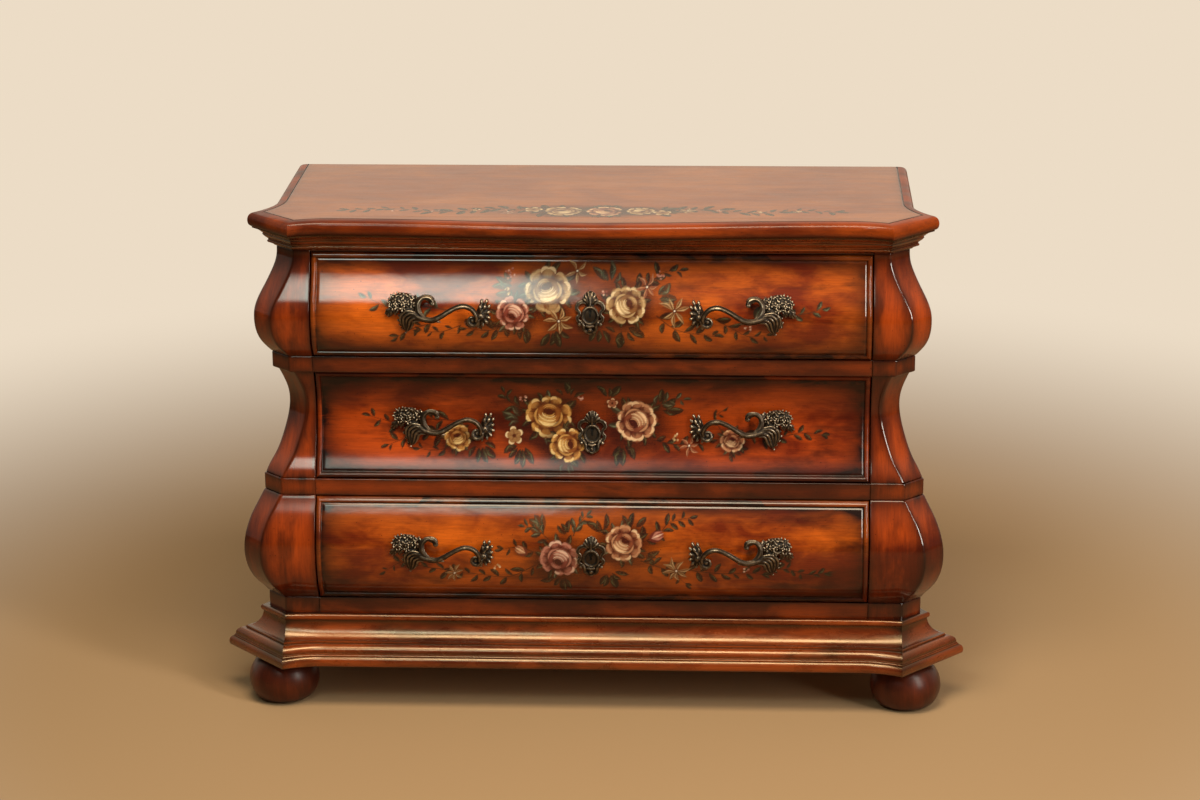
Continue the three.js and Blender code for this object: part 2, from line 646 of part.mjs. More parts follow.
// Runners: a ledge under each drawer side and a guide edge beside it
function addRunners(name, levels, floor) {
  const bottom = floor - dustDrop + clearance;
  const ledgeTop = floor + ledgeHeight;
  const guideX = drawerSideOutset + guideGap;
  const outer = openingHalfWidth - clearance;
  const front = rearFace(levels, floor, floor + guideHeight, Math.max) + guideGap;
  for (const [hand, side] of [['left', -1], ['right', 1]]) {
    const section = [[sideInner - clearance - (ledgeInset - drawerSideThickness), bottom], [outer, bottom],
      [outer, floor + guideHeight], [guideX, floor + guideHeight], [guideX, ledgeTop],
      [sideInner - clearance - (ledgeInset - drawerSideThickness), ledgeTop]];
    const outline = section.map(([x, z]) => [side * x, z]);
    addPart(chest, `${name}_${hand}_runner`, lengthwisePrism(outline, front, caseDepth - clearance), 'innerWood');
  }
}

const tiers = [
  ['upper', upperTier, upperFloor, upperCeiling, upperPullDrop, upperEscutcheonDrop],
  ['middle', middleTier, middleFloor, middleCeiling, middlePullDrop, middleEscutcheonDrop],
  ['lower', lowerTier, lowerFloor, lowerCeiling, lowerPullDrop, lowerEscutcheonDrop]
];
for (const [name, levels, floor, ceiling, pullDrop, escutcheonDrop] of tiers) {
  addDrawer(name, levels, floor, ceiling, pullDrop, escutcheonDrop);
  addRunners(name, levels, floor);
}

// The origin is on the floor, at the middle of the footprint
chest.position.y = -(topBackY + plinthCornerY) / 2;

export default chest;
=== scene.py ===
# A bombe chest with three drawers: its finished wood, castings and painted sprays.
# Metres, +Z up, front towards -Y. Small sizes are written in millimetres times MM.
import math
import random
import bmesh
import bpy
import numpy as np
from mathutils import Matrix, Vector


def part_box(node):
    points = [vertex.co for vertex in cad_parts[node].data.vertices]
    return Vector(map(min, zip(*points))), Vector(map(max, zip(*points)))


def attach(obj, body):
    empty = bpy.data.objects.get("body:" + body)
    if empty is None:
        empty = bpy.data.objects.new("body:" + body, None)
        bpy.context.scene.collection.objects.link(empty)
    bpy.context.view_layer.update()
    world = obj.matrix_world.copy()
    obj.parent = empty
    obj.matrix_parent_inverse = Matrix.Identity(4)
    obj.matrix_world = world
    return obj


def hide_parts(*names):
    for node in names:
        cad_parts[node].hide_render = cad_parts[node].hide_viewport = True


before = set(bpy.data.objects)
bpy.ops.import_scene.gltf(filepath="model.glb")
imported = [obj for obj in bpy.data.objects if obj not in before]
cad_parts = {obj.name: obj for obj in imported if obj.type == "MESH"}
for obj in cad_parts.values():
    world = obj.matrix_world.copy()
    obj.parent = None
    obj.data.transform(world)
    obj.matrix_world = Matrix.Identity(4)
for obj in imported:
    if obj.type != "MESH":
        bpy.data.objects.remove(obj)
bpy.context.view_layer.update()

MM = 0.001
X, Y, Z = 0, 1, 2


def low(node, axis):
    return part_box(node)[0][axis]


def high(node, axis):
    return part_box(node)[1][axis]


# Sizes taken from the frame
CLEARANCE = 0.3 * MM
FACE_Y = low("upper_rail", Y)
LOWER_PLANE = FACE_Y - low("lower_rail", Y)
NECK_SETBACK = low("top_rail", Y) - FACE_Y
LOWER_BULGE = FACE_Y - low("right_front_post", Y)
OPENING = high("upper_rail", X) + CLEARANCE
POST = high("right_front_post", X) - LOWER_BULGE
POST_DEPTH = high("right_front_post", Y) - FACE_Y
SIDE_BACK = high("right_side_panel", Y) - FACE_Y
CASE_REAR = high("back_panel", Y) - FACE_Y
TOP_BACK = high("top_panel", Y) - FACE_Y
CASE_BOTTOM = low("bottom_rail", Z)
LOWER_FLOOR, LOWER_CEILING = high("bottom_rail", Z), low("lower_rail", Z)
MIDDLE_FLOOR, MIDDLE_CEILING = high("lower_rail", Z), low("upper_rail", Z)
UPPER_FLOOR, UPPER_CEILING = high("upper_rail", Z), low("top_rail", Z)
CASE_TOP = high("top_rail", Z)
TOP_UNDER, TOP_Z = low("top_panel", Z), high("top_panel", Z)
PLINTH_BOTTOM, PLINTH_TOP = low("plinth_front", Z), high("plinth_front", Z)

# Sizes that the frame's boxes don't give
UPPER_BULGE = 24.5 * MM
WAIST_SETBACK = 23.5 * MM
FRIEZE = 2.5 * MM
CANT = 34 * MM
SIDE_RECESS = 31 * MM
SIDE_THICKNESS = 18 * MM
FRONT_THICKNESS = 20 * MM
REVEAL = 2 * MM
NECK_Z = UPPER_CEILING + FRIEZE


def smooth_curve(points):
    """A natural cubic spline through [x, y] points, as a function of x."""
    xs, ys = np.array(points, float).T
    count = len(xs)
    gaps = np.diff(xs)
    system, right = np.eye(count), np.zeros(count)
    for i in range(1, count - 1):
        system[i, i - 1:i + 2] = gaps[i - 1], 2 * (gaps[i - 1] + gaps[i]), gaps[i]
        right[i] = 6 * ((ys[i + 1] - ys[i]) / gaps[i] - (ys[i] - ys[i - 1]) / gaps[i - 1])
    bend = np.linalg.solve(system, right)

    def value(x):
        i = np.clip(np.searchsorted(xs, x, side="right") - 1, 0, count - 2)
        a, b = xs[i + 1] - x, x - xs[i]
        return ((bend[i] * a ** 3 + bend[i + 1] * b ** 3) / (6 * gaps[i])
                + (ys[i] / gaps[i] - bend[i] * gaps[i] / 6) * a
                + (ys[i + 1] / gaps[i] - bend[i + 1] * gaps[i] / 6) * b)
    return value


def smooth_run(points, steps):
    """Points along a smooth line through the given ones, evenly by chord length."""
    points = np.array(points, float)
    lengths = np.concatenate([[0], np.cumsum(np.linalg.norm(np.diff(points, axis=0), axis=1))])
    if len(points) == 2:
        return [tuple(p) for p in points]
    curves = [smooth_curve(np.stack([lengths, points[:, k]], axis=1)) for k in range(points.shape[1])]
    return [tuple(float(c(t)) for c in curves) for t in np.linspace(0, lengths[-1], steps)]


def smooth_line(points, step):
    """A Catmull-Rom line through the points, and where among them each of its own points is."""
    points = np.array(points, float)
    ends = np.vstack([2 * points[0] - points[1], points, 2 * points[-1] - points[-2]])
    line, places = [], []
    for i in range(len(points) - 1):
        steps = max(2, int(np.linalg.norm(points[i + 1] - points[i]) / step))
        for t in np.arange(steps) / steps:
            weights = np.array([-t + 2 * t ** 2 - t ** 3, 2 - 5 * t ** 2 + 3 * t ** 3,
                                t + 4 * t ** 2 - 3 * t ** 3, -t ** 2 + t ** 3]) / 2
            line.append(weights @ ends[i:i + 4])
            places.append(i + t)
    return np.array(line + [points[-1]]), places + [len(points) - 1]


def towards(place, angle, distance):
    return place[0] + distance * math.cos(angle), place[1] + distance * math.sin(angle)


def straight(start, end, shares):
    return [(start[0] + (end[0] - start[0]) * s, start[1] + (end[1] - start[1]) * s) for s in shares]


def unit(vector):
    return vector / np.linalg.norm(vector)


# The swelling profile: [height share of the tier, share of the tier's swell]
LOWER_SHARES = [[0, 0.03], [0.045, 0.17], [0.11, 0.42], [0.2, 0.7], [0.3, 0.89], [0.41, 0.99], [0.5, 1],
                [0.61, 0.93], [0.72, 0.77], [0.82, 0.55], [0.92, 0.26], [1, 0.03]]
MIDDLE_SHARES = [[0, 0.95], [0.08, 0.79], [0.17, 0.56], [0.28, 0.355], [0.4, 0.19], [0.52, 0.06], [0.64, 0],
                 [0.75, 0.035], [0.86, 0.165], [1, 0.4]]
UPPER_SHARES = [[0, 0.34], [0.05, 0.52], [0.12, 0.74], [0.22, 0.925], [0.35, 1], [0.46, 0.95], [0.56, 0.77],
                [0.66, 0.51], [0.76, 0.265], [0.86, 0.07], [0.95, 0], [1, 0]]


def tier_curve(shares, floor, ceiling, inner, outer):
    curve = smooth_curve(shares)
    return lambda z: inner + (outer - inner) * curve((z - floor) / (ceiling - floor))


def flat_band(out):
    return lambda z: out


lower_curve = tier_curve(LOWER_SHARES, LOWER_FLOOR, LOWER_CEILING, LOWER_PLANE, LOWER_BULGE)
middle_curve = tier_curve(MIDDLE_SHARES, MIDDLE_FLOOR, MIDDLE_CEILING, -WAIST_SETBACK, LOWER_PLANE)
upper_curve = tier_curve(UPPER_SHARES, UPPER_FLOOR, NECK_Z, -NECK_SETBACK, UPPER_BULGE)

STRETCHES = [
    (CASE_BOTTOM, LOWER_FLOOR, flat_band(LOWER_PLANE)),
    (LOWER_FLOOR, LOWER_CEILING, lower_curve),
    (LOWER_CEILING, MIDDLE_FLOOR, flat_band(LOWER_PLANE)),
    (MIDDLE_FLOOR, MIDDLE_CEILING, middle_curve),
    (MIDDLE_CEILING, UPPER_FLOOR, flat_band(0)),
    (UPPER_FLOOR, NECK_Z, upper_curve),
    (NECK_Z, CASE_TOP, flat_band(-NECK_SETBACK)),
]
CREASE_DEPTH = 1.1 * MM
CREASE_WIDTH = 2.2 * MM
LEVEL_STEP = 3.5 * MM
CREASE_SHARES = [0, 0.18, 0.42, 0.7, 1]


def spaced(start, end, step, near_shares, near):
    """Places from start to end: close together near both ends, then about one step apart."""
    inner_start, inner_end = start + near, end - near
    count = max(1, round((inner_end - inner_start) / step))
    middle = [inner_start + (inner_end - inner_start) * i / count for i in range(1, count)]
    return [start + near * s for s in near_shares] + middle + [end - near * s for s in reversed(near_shares)]


def case_profile():
    """(height, how far the face stands out, distance to the nearest crease), from the base up."""
    profile = []
    for bottom, top, curve in STRETCHES:
        for z in spaced(bottom, top, LEVEL_STEP, CREASE_SHARES, CREASE_WIDTH):
            reach = min(z - bottom, top - z)
            crease = CREASE_DEPTH * max(0, 1 - reach / CREASE_WIDTH) ** 2
            profile.append((z, float(curve(z)) - crease, reach))
    return profile


def add_object(name, data):
    made = bpy.data.objects.new(name, data)
    bpy.context.collection.objects.link(made)
    return made


# Pieces of mesh with the attributes that the wood reads: a darkening, which is dark finish on edges and
# painted shade in creases, undersides and shaded parts, and grain, its own coordinates
ATTRIBUTE_FIELDS = {"FLOAT": "value", "FLOAT_VECTOR": "vector", "FLOAT_COLOR": "color"}


def add_piece(name, points, faces, materials, body, nodes, slot, attributes, sharp_angle=32):
    mesh = bpy.data.meshes.new(name)
    mesh.from_pydata(np.asarray(points, float).tolist(), [], [list(map(int, f)) for f in faces])
    for key, (kind, values) in attributes.items():
        layer = mesh.attributes.new(key, kind, "POINT")
        layer.data.foreach_set(ATTRIBUTE_FIELDS[kind], np.asarray(values, np.float32).ravel())
    for material in materials:
        mesh.materials.append(material)
    mesh.shade_smooth()
    mesh.set_sharp_from_angle(angle=math.radians(sharp_angle))
    mesh.update()
    piece = add_object(name, mesh)
    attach(piece, body)
    if nodes:
        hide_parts(*nodes)
    return piece


def ring_faces(rings, size, first=0):
    """The faces of a closed piece whose points lie in rings of one size, with its two ends."""
    faces = []
    for r in range(rings - 1):
        for i in range(size):
            a, b = first + r * size + i, first + r * size + (i + 1) % size
            faces.append((a, b, b + size, a + size))
    last = first + (rings - 1) * size
    return faces + [tuple(range(first + size - 1, first - 1, -1)), tuple(range(last, last + size))]


def outward(points, faces):
    """The faces turned so that the closed mesh's volume is positive."""
    points = np.asarray(points)
    corners = [(f[0], f[i], f[i + 1]) for f in faces for i in range(1, len(f) - 1)]
    a, b, c = (points[list(column)] for column in zip(*corners))
    volume = np.einsum("ij,ij->", a, np.cross(b, c))
    return [tuple(reversed(f)) for f in faces] if volume < 0 else faces


def add_skin(name, rings, ages_and_shades, grains, materials, body, nodes, slot, paint=None, **options):
    """A closed piece from rings of points, shaped (rings, points, 3), with flat ends."""
    rings = np.asarray(rings, float)
    points = rings.reshape(-1, 3)
    attributes = {"age_and_shade": ("FLOAT", ages_and_shades), "grain": ("FLOAT_VECTOR", grains)}
    if paint is not None:
        attributes["paint"] = "FLOAT_COLOR", paint
    faces = outward(points, ring_faces(*rings.shape[:2]))
    return add_piece(name, points, faces, materials, body, nodes, slot, attributes, **options)


# Node helpers
def add_node(tree, kind, inputs=None, **settings):
    made = tree.nodes.new(kind)
    for key, value in settings.items():
        setattr(made, key, value)
    for key, value in (inputs or {}).items():
        if isinstance(value, bpy.types.NodeSocket):
            tree.links.new(value, made.inputs[key])
        else:
            made.inputs[key].default_value = value
    return made


def calculate(tree, operation, a, b=0.0, clamp=False):
    return add_node(tree, "ShaderNodeMath", {0: a, 1: b}, operation=operation, use_clamp=clamp).outputs[0]


def ramp_between(tree, value, start, end, to_start=0.0, to_end=1.0):
    inputs = {"Value": value, "From Min": start, "From Max": end, "To Min": to_start, "To Max": to_end}
    return add_node(tree, "ShaderNodeMapRange", inputs, interpolation_type="SMOOTHSTEP").outputs["Result"]


def blend_colours(tree, factor, a, b, kind="MIX"):
    made = add_node(tree, "ShaderNodeMix", None, data_type="RGBA", blend_type=kind)
    for index, value in ((0, factor), (6, a), (7, b)):
        if isinstance(value, bpy.types.NodeSocket):
            tree.links.new(value, made.inputs[index])
        else:
            made.inputs[index].default_value = value
    return made.outputs[2]


def shaded(tree, colour, value):
    """A colour times a value."""
    grey = add_node(tree, "ShaderNodeCombineColor", {"Red": value, "Green": value, "Blue": value})
    return blend_colours(tree, 1.0, colour, grey.outputs[0], "MULTIPLY")


def stretched_noise(tree, vector, scales, detail=3.0, distortion=0.0, roughness=0.5, shift=(0, 0, 0)):
    mapping = add_node(tree, "ShaderNodeMapping", {"Vector": vector, "Scale": scales, "Location": shift})
    inputs = {"Vector": mapping.outputs[0], "Scale": 1.0, "Detail": detail, "Distortion": distortion,
              "Roughness": roughness}
    return add_node(tree, "ShaderNodeTexNoise", inputs).outputs[0]


def attribute(tree, name, output="Fac"):
    return add_node(tree, "ShaderNodeAttribute", attribute_name=name).outputs[output]


def object_place(tree):
    return add_node(tree, "ShaderNodeTexCoord").outputs["Object"]


def bump(tree, height, strength, distance, normal=None):
    inputs = {"Height": height, "Strength": strength, "Distance": distance}
    if normal:
        inputs["Normal"] = normal
    return add_node(tree, "ShaderNodeBump", inputs).outputs[0]


def new_material(name):
    material = bpy.data.materials.new(name)
    material.use_nodes = True
    return material, material.node_tree


def set_shader(tree, **inputs):
    """Set or link the shader's inputs, named as on the node with _ for each space."""
    shader = tree.nodes["Principled BSDF"]
    for key, value in inputs.items():
        socket = shader.inputs[key.replace("_", " ")]
        if isinstance(value, bpy.types.NodeSocket):
            tree.links.new(value, socket)
        else:
            socket.default_value = value
    return shader


def srgb(red, green, blue):
    """A colour from 0 to 255 as it looks on screen, made linear."""
    def linear(c):
        c /= 255
        return c / 12.92 if c <= 0.04045 else ((c + 0.055) / 1.055) ** 2.4
    return linear(red), linear(green), linear(blue), 1.0


# Burnished wood: grain stretched along the board, cloudy figure, darkened by dark finish and by painted shade
# under a gloss coat.
# Each noise: scale along the grain and across it, detail, distortion, roughness, shift
WOOD_NOISES = {
    "cloud": (5, 9, 4, 0.6, 0.5, (0, 0, 0)),
    "figure": (17, 40, 5, 0.5, 0.6, (3, 1, 7)),
    "fibre": (30, 520, 4, 0.2, 0.65, (0, 0, 0)),
    "streak": (5, 110, 3, 0.5, 0.5, (1, 5, 2)),
    "smudge": (8, 24, 4, 0.4, 0.55, (5, 2, 8)),
    "pores": (130, 1500, 2, 0.0, 0.5, (4, 4, 4)),
    "specks": (260, 330, 1, 0.0, 0.5, (9, 2, 5)),
    "rubbed": (30, 55, 2, 0.3, 0.4, (6, 6, 1)),
    "brushed": (300, 700, 2, 0.0, 0.5, (0, 0, 0)),
}
CLOUD_SHARE, STREAK_SHARE, PORE_SHARE, SPECK_SHARE, MARK_SHARE = 0.68, 0.14, 0.45, 0.8, 0.4
# Spans: the noise from nothing to full, and where it only shades a colour, from what factor to what
TONE_SPAN, STREAK_SPAN, SMUDGE_SPAN = (0.38, 0.62), (0.42, 0.62), (0.52, 0.72)
PORE_SPAN, SPECK_SPAN, SHEEN_SPAN = (0.66, 0.72), (0.735, 0.76), (0.3, 0.7)
AGE_AND_SHADE_SPAN, BRUSHED_SPAN, FIBRE_SPAN = (0.25, 0.7, 0.72, 1.15), (0.3, 0.6, 0.84, 1.0), (0.25, 0.75, 0.8, 1.14)
ROUGHNESS_SPREAD = -0.06, 0.08
FIBRE_HEIGHT = 0.05
COAT_IOR = 1.42
FINE_DEPTH, RUBBED_DEPTH = 0.2 * MM, 1.2 * MM
PLAIN_TINT, BLACK = (1, 1, 1, 1), (0, 0, 0, 1)


def burnished_wood(name, dark, middle, light, painted=False, rubbed_height=0.12, smudged=0.62, coat=1.0,
                   coat_roughness=0.1, bare_roughness=0.42, shine=0.08, shine_tint=PLAIN_TINT):
    material, tree = new_material(name)
    grain = attribute(tree, "grain", "Vector")
    noise = {key: stretched_noise(tree, grain, (along, across, across), *rest)
             for key, (along, across, *rest) in WOOD_NOISES.items()}

    def weighed(value, share):
        return calculate(tree, "MULTIPLY", value, share)

    def ramped(key, span):
        return ramp_between(tree, noise[key], *span)

    tone = calculate(tree, "ADD", weighed(noise["cloud"], CLOUD_SHARE),
                     weighed(noise["figure"], 1 - CLOUD_SHARE))
    colour = blend_colours(tree, ramp_between(tree, tone, *TONE_SPAN), middle, light)
    colour = blend_colours(tree, weighed(ramped("streak", STREAK_SPAN), STREAK_SHARE), colour, dark)
    colour = blend_colours(tree, weighed(ramped("smudge", SMUDGE_SPAN), smudged), colour, dark)
    uneven = ramped("figure", AGE_AND_SHADE_SPAN)
    # The darkening attribute: dark finish on edges and painted shade in creases and shaded parts
    worn_age_and_shade = calculate(tree, "MULTIPLY", attribute(tree, "age_and_shade"), uneven, clamp=True)
    colour = blend_colours(tree, worn_age_and_shade, colour, dark)
    if painted:
        brushed = ramped("brushed", BRUSHED_SPAN)
        cover = weighed(attribute(tree, "paint", "Alpha"), brushed)
        bare = blend_colours(tree, cover, colour, BLACK)
        strokes = shaded(tree, attribute(tree, "paint", "Color"), brushed)
        colour = blend_colours(tree, 1.0, bare, strokes, "ADD")
    colour = shaded(tree, colour, ramped("fibre", FIBRE_SPAN))
    marks = calculate(tree, "MAXIMUM", weighed(ramped("pores", PORE_SPAN), PORE_SHARE),
                      weighed(ramped("specks", SPECK_SPAN), SPECK_SHARE))
    colour = blend_colours(tree, marks, colour, (*(MARK_SHARE * c for c in dark[:3]), 1))
    roughness = [bare_roughness + spread for spread in ROUGHNESS_SPREAD]
    coat_bump = bump(tree, noise["rubbed"], rubbed_height, RUBBED_DEPTH)
    set_shader(tree, Base_Color=colour, Roughness=ramped("figure", (*SHEEN_SPAN, *roughness)),
               Normal=bump(tree, noise["fibre"], FIBRE_HEIGHT, FINE_DEPTH, coat_bump), Coat_Normal=coat_bump,
               Coat_Weight=coat, Coat_Roughness=coat_roughness, Coat_IOR=COAT_IOR,
               Specular_IOR_Level=shine, Specular_Tint=shine_tint)
    return material


DRAWER_COLOURS = srgb(28, 7, 3), srgb(114, 36, 7), srgb(220, 104, 21)
# The middle drawer's colours are a darker copy: painted shade on its face that leans back under the upper
# drawer
SHADED_MIDDLE_DRAWER_COLOURS = srgb(26, 6, 3), srgb(102, 28, 6), srgb(198, 78, 15)
CASE_COLOURS = srgb(26, 7, 3), srgb(86, 24, 4), srgb(170, 66, 13)
MOULDING_COLOURS = srgb(24, 7, 3), srgb(86, 27, 7), srgb(142, 58, 15)
GOLDEN_TINT = 1, 0.7, 0.38, 1
TOP_COLOURS = srgb(62, 23, 9), srgb(136, 71, 31), srgb(160, 92, 42)
NOSE_COLOURS = srgb(30, 9, 4), srgb(104, 36, 7), srgb(160, 66, 14)
FOOT_COLOURS = srgb(26, 8, 4), srgb(62, 21, 9), srgb(92, 36, 15)
painted_drawer = burnished_wood("painted_drawer", *DRAWER_COLOURS, painted=True)
# The middle drawer's wood, darker with painted shade
painted_middle_in_shade = burnished_wood("painted_middle_in_shade", *SHADED_MIDDLE_DRAWER_COLOURS, painted=True, coat=0.7,
                                coat_roughness=0.22)
case_wood = burnished_wood("case_wood", *CASE_COLOURS, rubbed_height=0.07)
moulding_wood = burnished_wood("moulding_wood", *MOULDING_COLOURS, rubbed_height=0.008, coat=0.45,
                               coat_roughness=0.16, bare_roughness=0.27, shine=0.9, shine_tint=GOLDEN_TINT)
top_wood = burnished_wood("top_wood", *TOP_COLOURS, rubbed_height=0.03, smudged=0.12)
painted_top = burnished_wood("painted_top", *TOP_COLOURS, painted=True, rubbed_height=0.03, smudged=0.12)
nose_wood = burnished_wood("nose_wood", *NOSE_COLOURS, rubbed_height=0.01, coat=0.5, coat_roughness=0.16)
foot_wood = burnished_wood("foot_wood", *FOOT_COLOURS, rubbed_height=0.02, coat=0.6, coat_roughness=0.34)

# Unfinished board: scales of its growth lines and of its fibre, along the grain and across it
LINE_SCALES, FIBRE_SCALES = (4, 90), (40, 700)
LINE_SPAN, BOARD_SPAN = (0.35, 0.65), (0.3, 0.7, 0.86, 1.06)
BOARD_ROUGHNESS, BOARD_HEIGHT = 0.68, 0.25


def raw_wood(name, dark, light, axis, scale=1.0):
    """A matt board whose grain runs along one axis of the object."""
    material, tree = new_material(name)
    place = object_place(tree)

    def along_grain(scales):
        return tuple(scales[0 if k == axis else 1] for k in (X, Y, Z))

    lines = stretched_noise(tree, place, along_grain([scale * s for s in LINE_SCALES]),
                            detail=4, distortion=1.0, roughness=0.6)
    fibre = stretched_noise(tree, place, along_grain(FIBRE_SCALES))
    colour = blend_colours(tree, ramp_between(tree, lines, *LINE_SPAN), light, dark)
    colour = shaded(tree, colour, ramp_between(tree, fibre, *BOARD_SPAN))
    set_shader(tree, Base_Color=colour, Roughness=BOARD_ROUGHNESS,
               Normal=bump(tree, fibre, BOARD_HEIGHT, FINE_DEPTH))
    return material


INNER_COLOURS = srgb(150, 108, 66), srgb(196, 158, 108)
BACK_COLOURS = srgb(98, 62, 36), srgb(134, 92, 56)
inner_across = raw_wood("inner_wood_across", *INNER_COLOURS, X)
inner_deep = raw_wood("inner_wood_deep", *INNER_COLOURS, Y)
back_board = raw_wood("back_board", *BACK_COLOURS, Z, 0.7)


# Metals: how often a noise repeats in each direction, and spans as for the wood
PATCH_SCALE, GRIT_SCALE, SPOT_SCALE = (130,) * 3, (1400,) * 3, (400,) * 3
PATCH_SHARE = 0.5
BRONZE_COLOURS = srgb(18, 13, 10), srgb(64, 53, 43), srgb(144, 131, 114)
STEEL_COLOURS = srgb(120, 118, 112), srgb(170, 168, 162)
HOLLOW_SPAN, RIDGE_SPAN = (0.25, 0.55), (0.6, 1.0)
BRONZE_ROUGHNESS_SPAN, BRONZE_METAL_SPAN = (0.3, 0.9, 0.52, 0.3), (0.2, 0.5, 0.35, 0.9)
GRIT_HEIGHT = 0.16


def antique_bronze(hollow, field, ridge):
    """Cast bronze, dark in its hollows and rubbed pale on its ridges."""
    material, tree = new_material("antique_bronze")
    place = object_place(tree)
    patches = stretched_noise(tree, place, PATCH_SCALE, detail=4, distortion=0.4)
    grit = stretched_noise(tree, place, GRIT_SCALE)
    uneven = calculate(tree, "MULTIPLY", calculate(tree, "SUBTRACT", patches, 0.5), PATCH_SHARE)
    rubbed = calculate(tree, "ADD", attribute(tree, "proud"), uneven)
    colour = blend_colours(tree, ramp_between(tree, rubbed, *HOLLOW_SPAN), hollow, field)
    colour = blend_colours(tree, ramp_between(tree, rubbed, *RIDGE_SPAN), colour, ridge)
    set_shader(tree, Base_Color=colour, Roughness=ramp_between(tree, rubbed, *BRONZE_ROUGHNESS_SPAN),
               Metallic=ramp_between(tree, rubbed, *BRONZE_METAL_SPAN),
               Normal=bump(tree, grit, GRIT_HEIGHT, FINE_DEPTH))
    return material


def bolt_steel():
    material, tree = new_material("bolt_steel")
    spots = stretched_noise(tree, object_place(tree), SPOT_SCALE)
    colour = blend_colours(tree, spots, *STEEL_COLOURS)
    set_shader(tree, Base_Color=colour, Metallic=1.0, Roughness=0.4)
    return material


bronze = antique_bronze(*BRONZE_COLOURS)
steel = bolt_steel()

# Plans of the mouldings, repeated from the part: half outlines from the middle of the front to the back
FRONT_FLARE_SHARE = 0.87
BOW_END_SHARE = 0.86
FLARE_END = 125 * MM
NOSE_PLAN = dict(front=-20 * MM, bow=23 * MM, corner=(499 * MM, -36 * MM), tip=(577 * MM, 44 * MM),
                 side=539 * MM, flare=FLARE_END)
PLINTH_PLAN = dict(front=-71 * MM, bow=0.0, corner=(527 * MM, -88 * MM), tip=(636 * MM, 29 * MM),
                   side=571 * MM, flare=FLARE_END)
LINE_PLAN = dict(front=0.0, bow=21 * MM, corner=(491 * MM, -12 * MM), tip=(548 * MM, 45 * MM),
                 side=520 * MM, flare=FLARE_END)
FRONT_STEPS, CORNER_STEPS, FLARE_STEPS, BACK_STEPS = 24, 14, 16, 6
BACK_SHARES = [i / BACK_STEPS for i in range(1, BACK_STEPS + 1)]
FRONT_SHARES = [i / FRONT_STEPS * FRONT_FLARE_SHARE for i in range(FRONT_STEPS)] + [
    FRONT_FLARE_SHARE + (1 - FRONT_FLARE_SHARE) * i / CORNER_STEPS for i in range(CORNER_STEPS + 1)]


def case_plan(out):
    return dict(front=-out, bow=0.0, corner=(POST + out - CANT, -out), tip=(POST + out, CANT - out),
                side=POST + out - SIDE_RECESS, flare=POST_DEPTH)


def side_point(plan, v):
    x = plan["side"] + (plan["tip"][0] - plan["side"]) * (1 - v) ** 2
    return x, plan["tip"][1] + (plan["flare"] - plan["tip"][1]) * v


def front_half(plan):
    """From the middle of the front to its corner."""
    points = []
    for u in FRONT_SHARES:
        bend = max(0.0, (u - FRONT_FLARE_SHARE) / (1 - FRONT_FLARE_SHARE))
        bow = plan["bow"] * math.cos(min(1.0, u / BOW_END_SHARE) * math.pi / 2) ** 2
        out = plan["front"] - bow - (plan["front"] - plan["corner"][1]) * bend ** 2
        points.append((plan["corner"][0] * u, out))
    return points


def side_half(plan, rear):
    """From the front corner across the canted face, round the flare and back."""
    points = [plan["corner"]] + [side_point(plan, i / FLARE_STEPS) for i in range(FLARE_STEPS + 1)]
    return points + straight(points[-1], (plan["side"], rear), BACK_SHARES)


def mirrored(half):
    return [(-x, y) for x, y in half[:0:-1]] + half


def along_lengths(stations):
    steps = np.linalg.norm(np.diff(np.array(stations), axis=0), axis=1)
    return np.concatenate([[0], np.cumsum(steps)])


def faded(distance, reach, start=0.9):
    """How dark a surface is at a distance from where the darkening gathers: dark finish, or painted shade in
    creases and under things.
    """
    return start * math.exp(-distance / reach)


# Cornice and plinth: [share of the way out, share of the height], in smooth runs between crisp lines.
# The first place starts the section, and each run goes on from the end of the one before
CORNICE_SHARES = [
    [[0, 0]], [[0.84, 0]], [[0.84, 0.07]], [[0.72, 0.12], [0.6, 0.19], [0.52, 0.27]],
    [[0.5, 0.3], [0.475, 0.31], [0.475, 0.4]], [[0.43, 0.48], [0.36, 0.56], [0.29, 0.63]],
    [[0.27, 0.65], [0.27, 0.71]], [[0.3, 0.74], [0.3, 0.81], [0.27, 0.85]],
    [[0.16, 0.9], [0.08, 0.95], [0.04, 1]], [[0, 1]],
]
PLINTH_SHARES = [
    [[0.6, 0]], [[0.94, 0]], [[0.985, 0.02], [1, 0.07], [0.992, 0.13], [0.955, 0.185], [0.905, 0.212]],
    [[0.893, 0.198], [0.886, 0.215]], [[0.882, 0.236], [0.868, 0.245]],
    [[0.858, 0.232], [0.852, 0.248]], [[0.848, 0.268], [0.836, 0.272]],
    [[0.834, 0.31], [0.808, 0.355], [0.75, 0.4], [0.67, 0.43], [0.6, 0.44]],
    [[0.585, 0.43], [0.578, 0.445]], [[0.572, 0.478], [0.548, 0.488]],
    [[0.46, 0.505], [0.36, 0.548], [0.26, 0.625], [0.185, 0.72], [0.145, 0.83], [0.14, 0.865]],
    [[0.165, 0.872], [0.198, 0.9], [0.205, 0.94], [0.185, 0.978], [0.13, 1]], [[0, 1]],
]
RUN_STEPS, SHORT_RUN_STEPS = 9, 4
# Hollows and crisp lines darken: partly dark finish, partly painted shade
CREASE_AGE_AND_SHADE, CREASE_SHARE = 0.85, 0.25
MITRE_AGE, MITRE_REACH = 0.8, 9 * MM
SECTION_GRAIN = 60 * MM
PLINTH_LEDGE_SHARE = 0.62


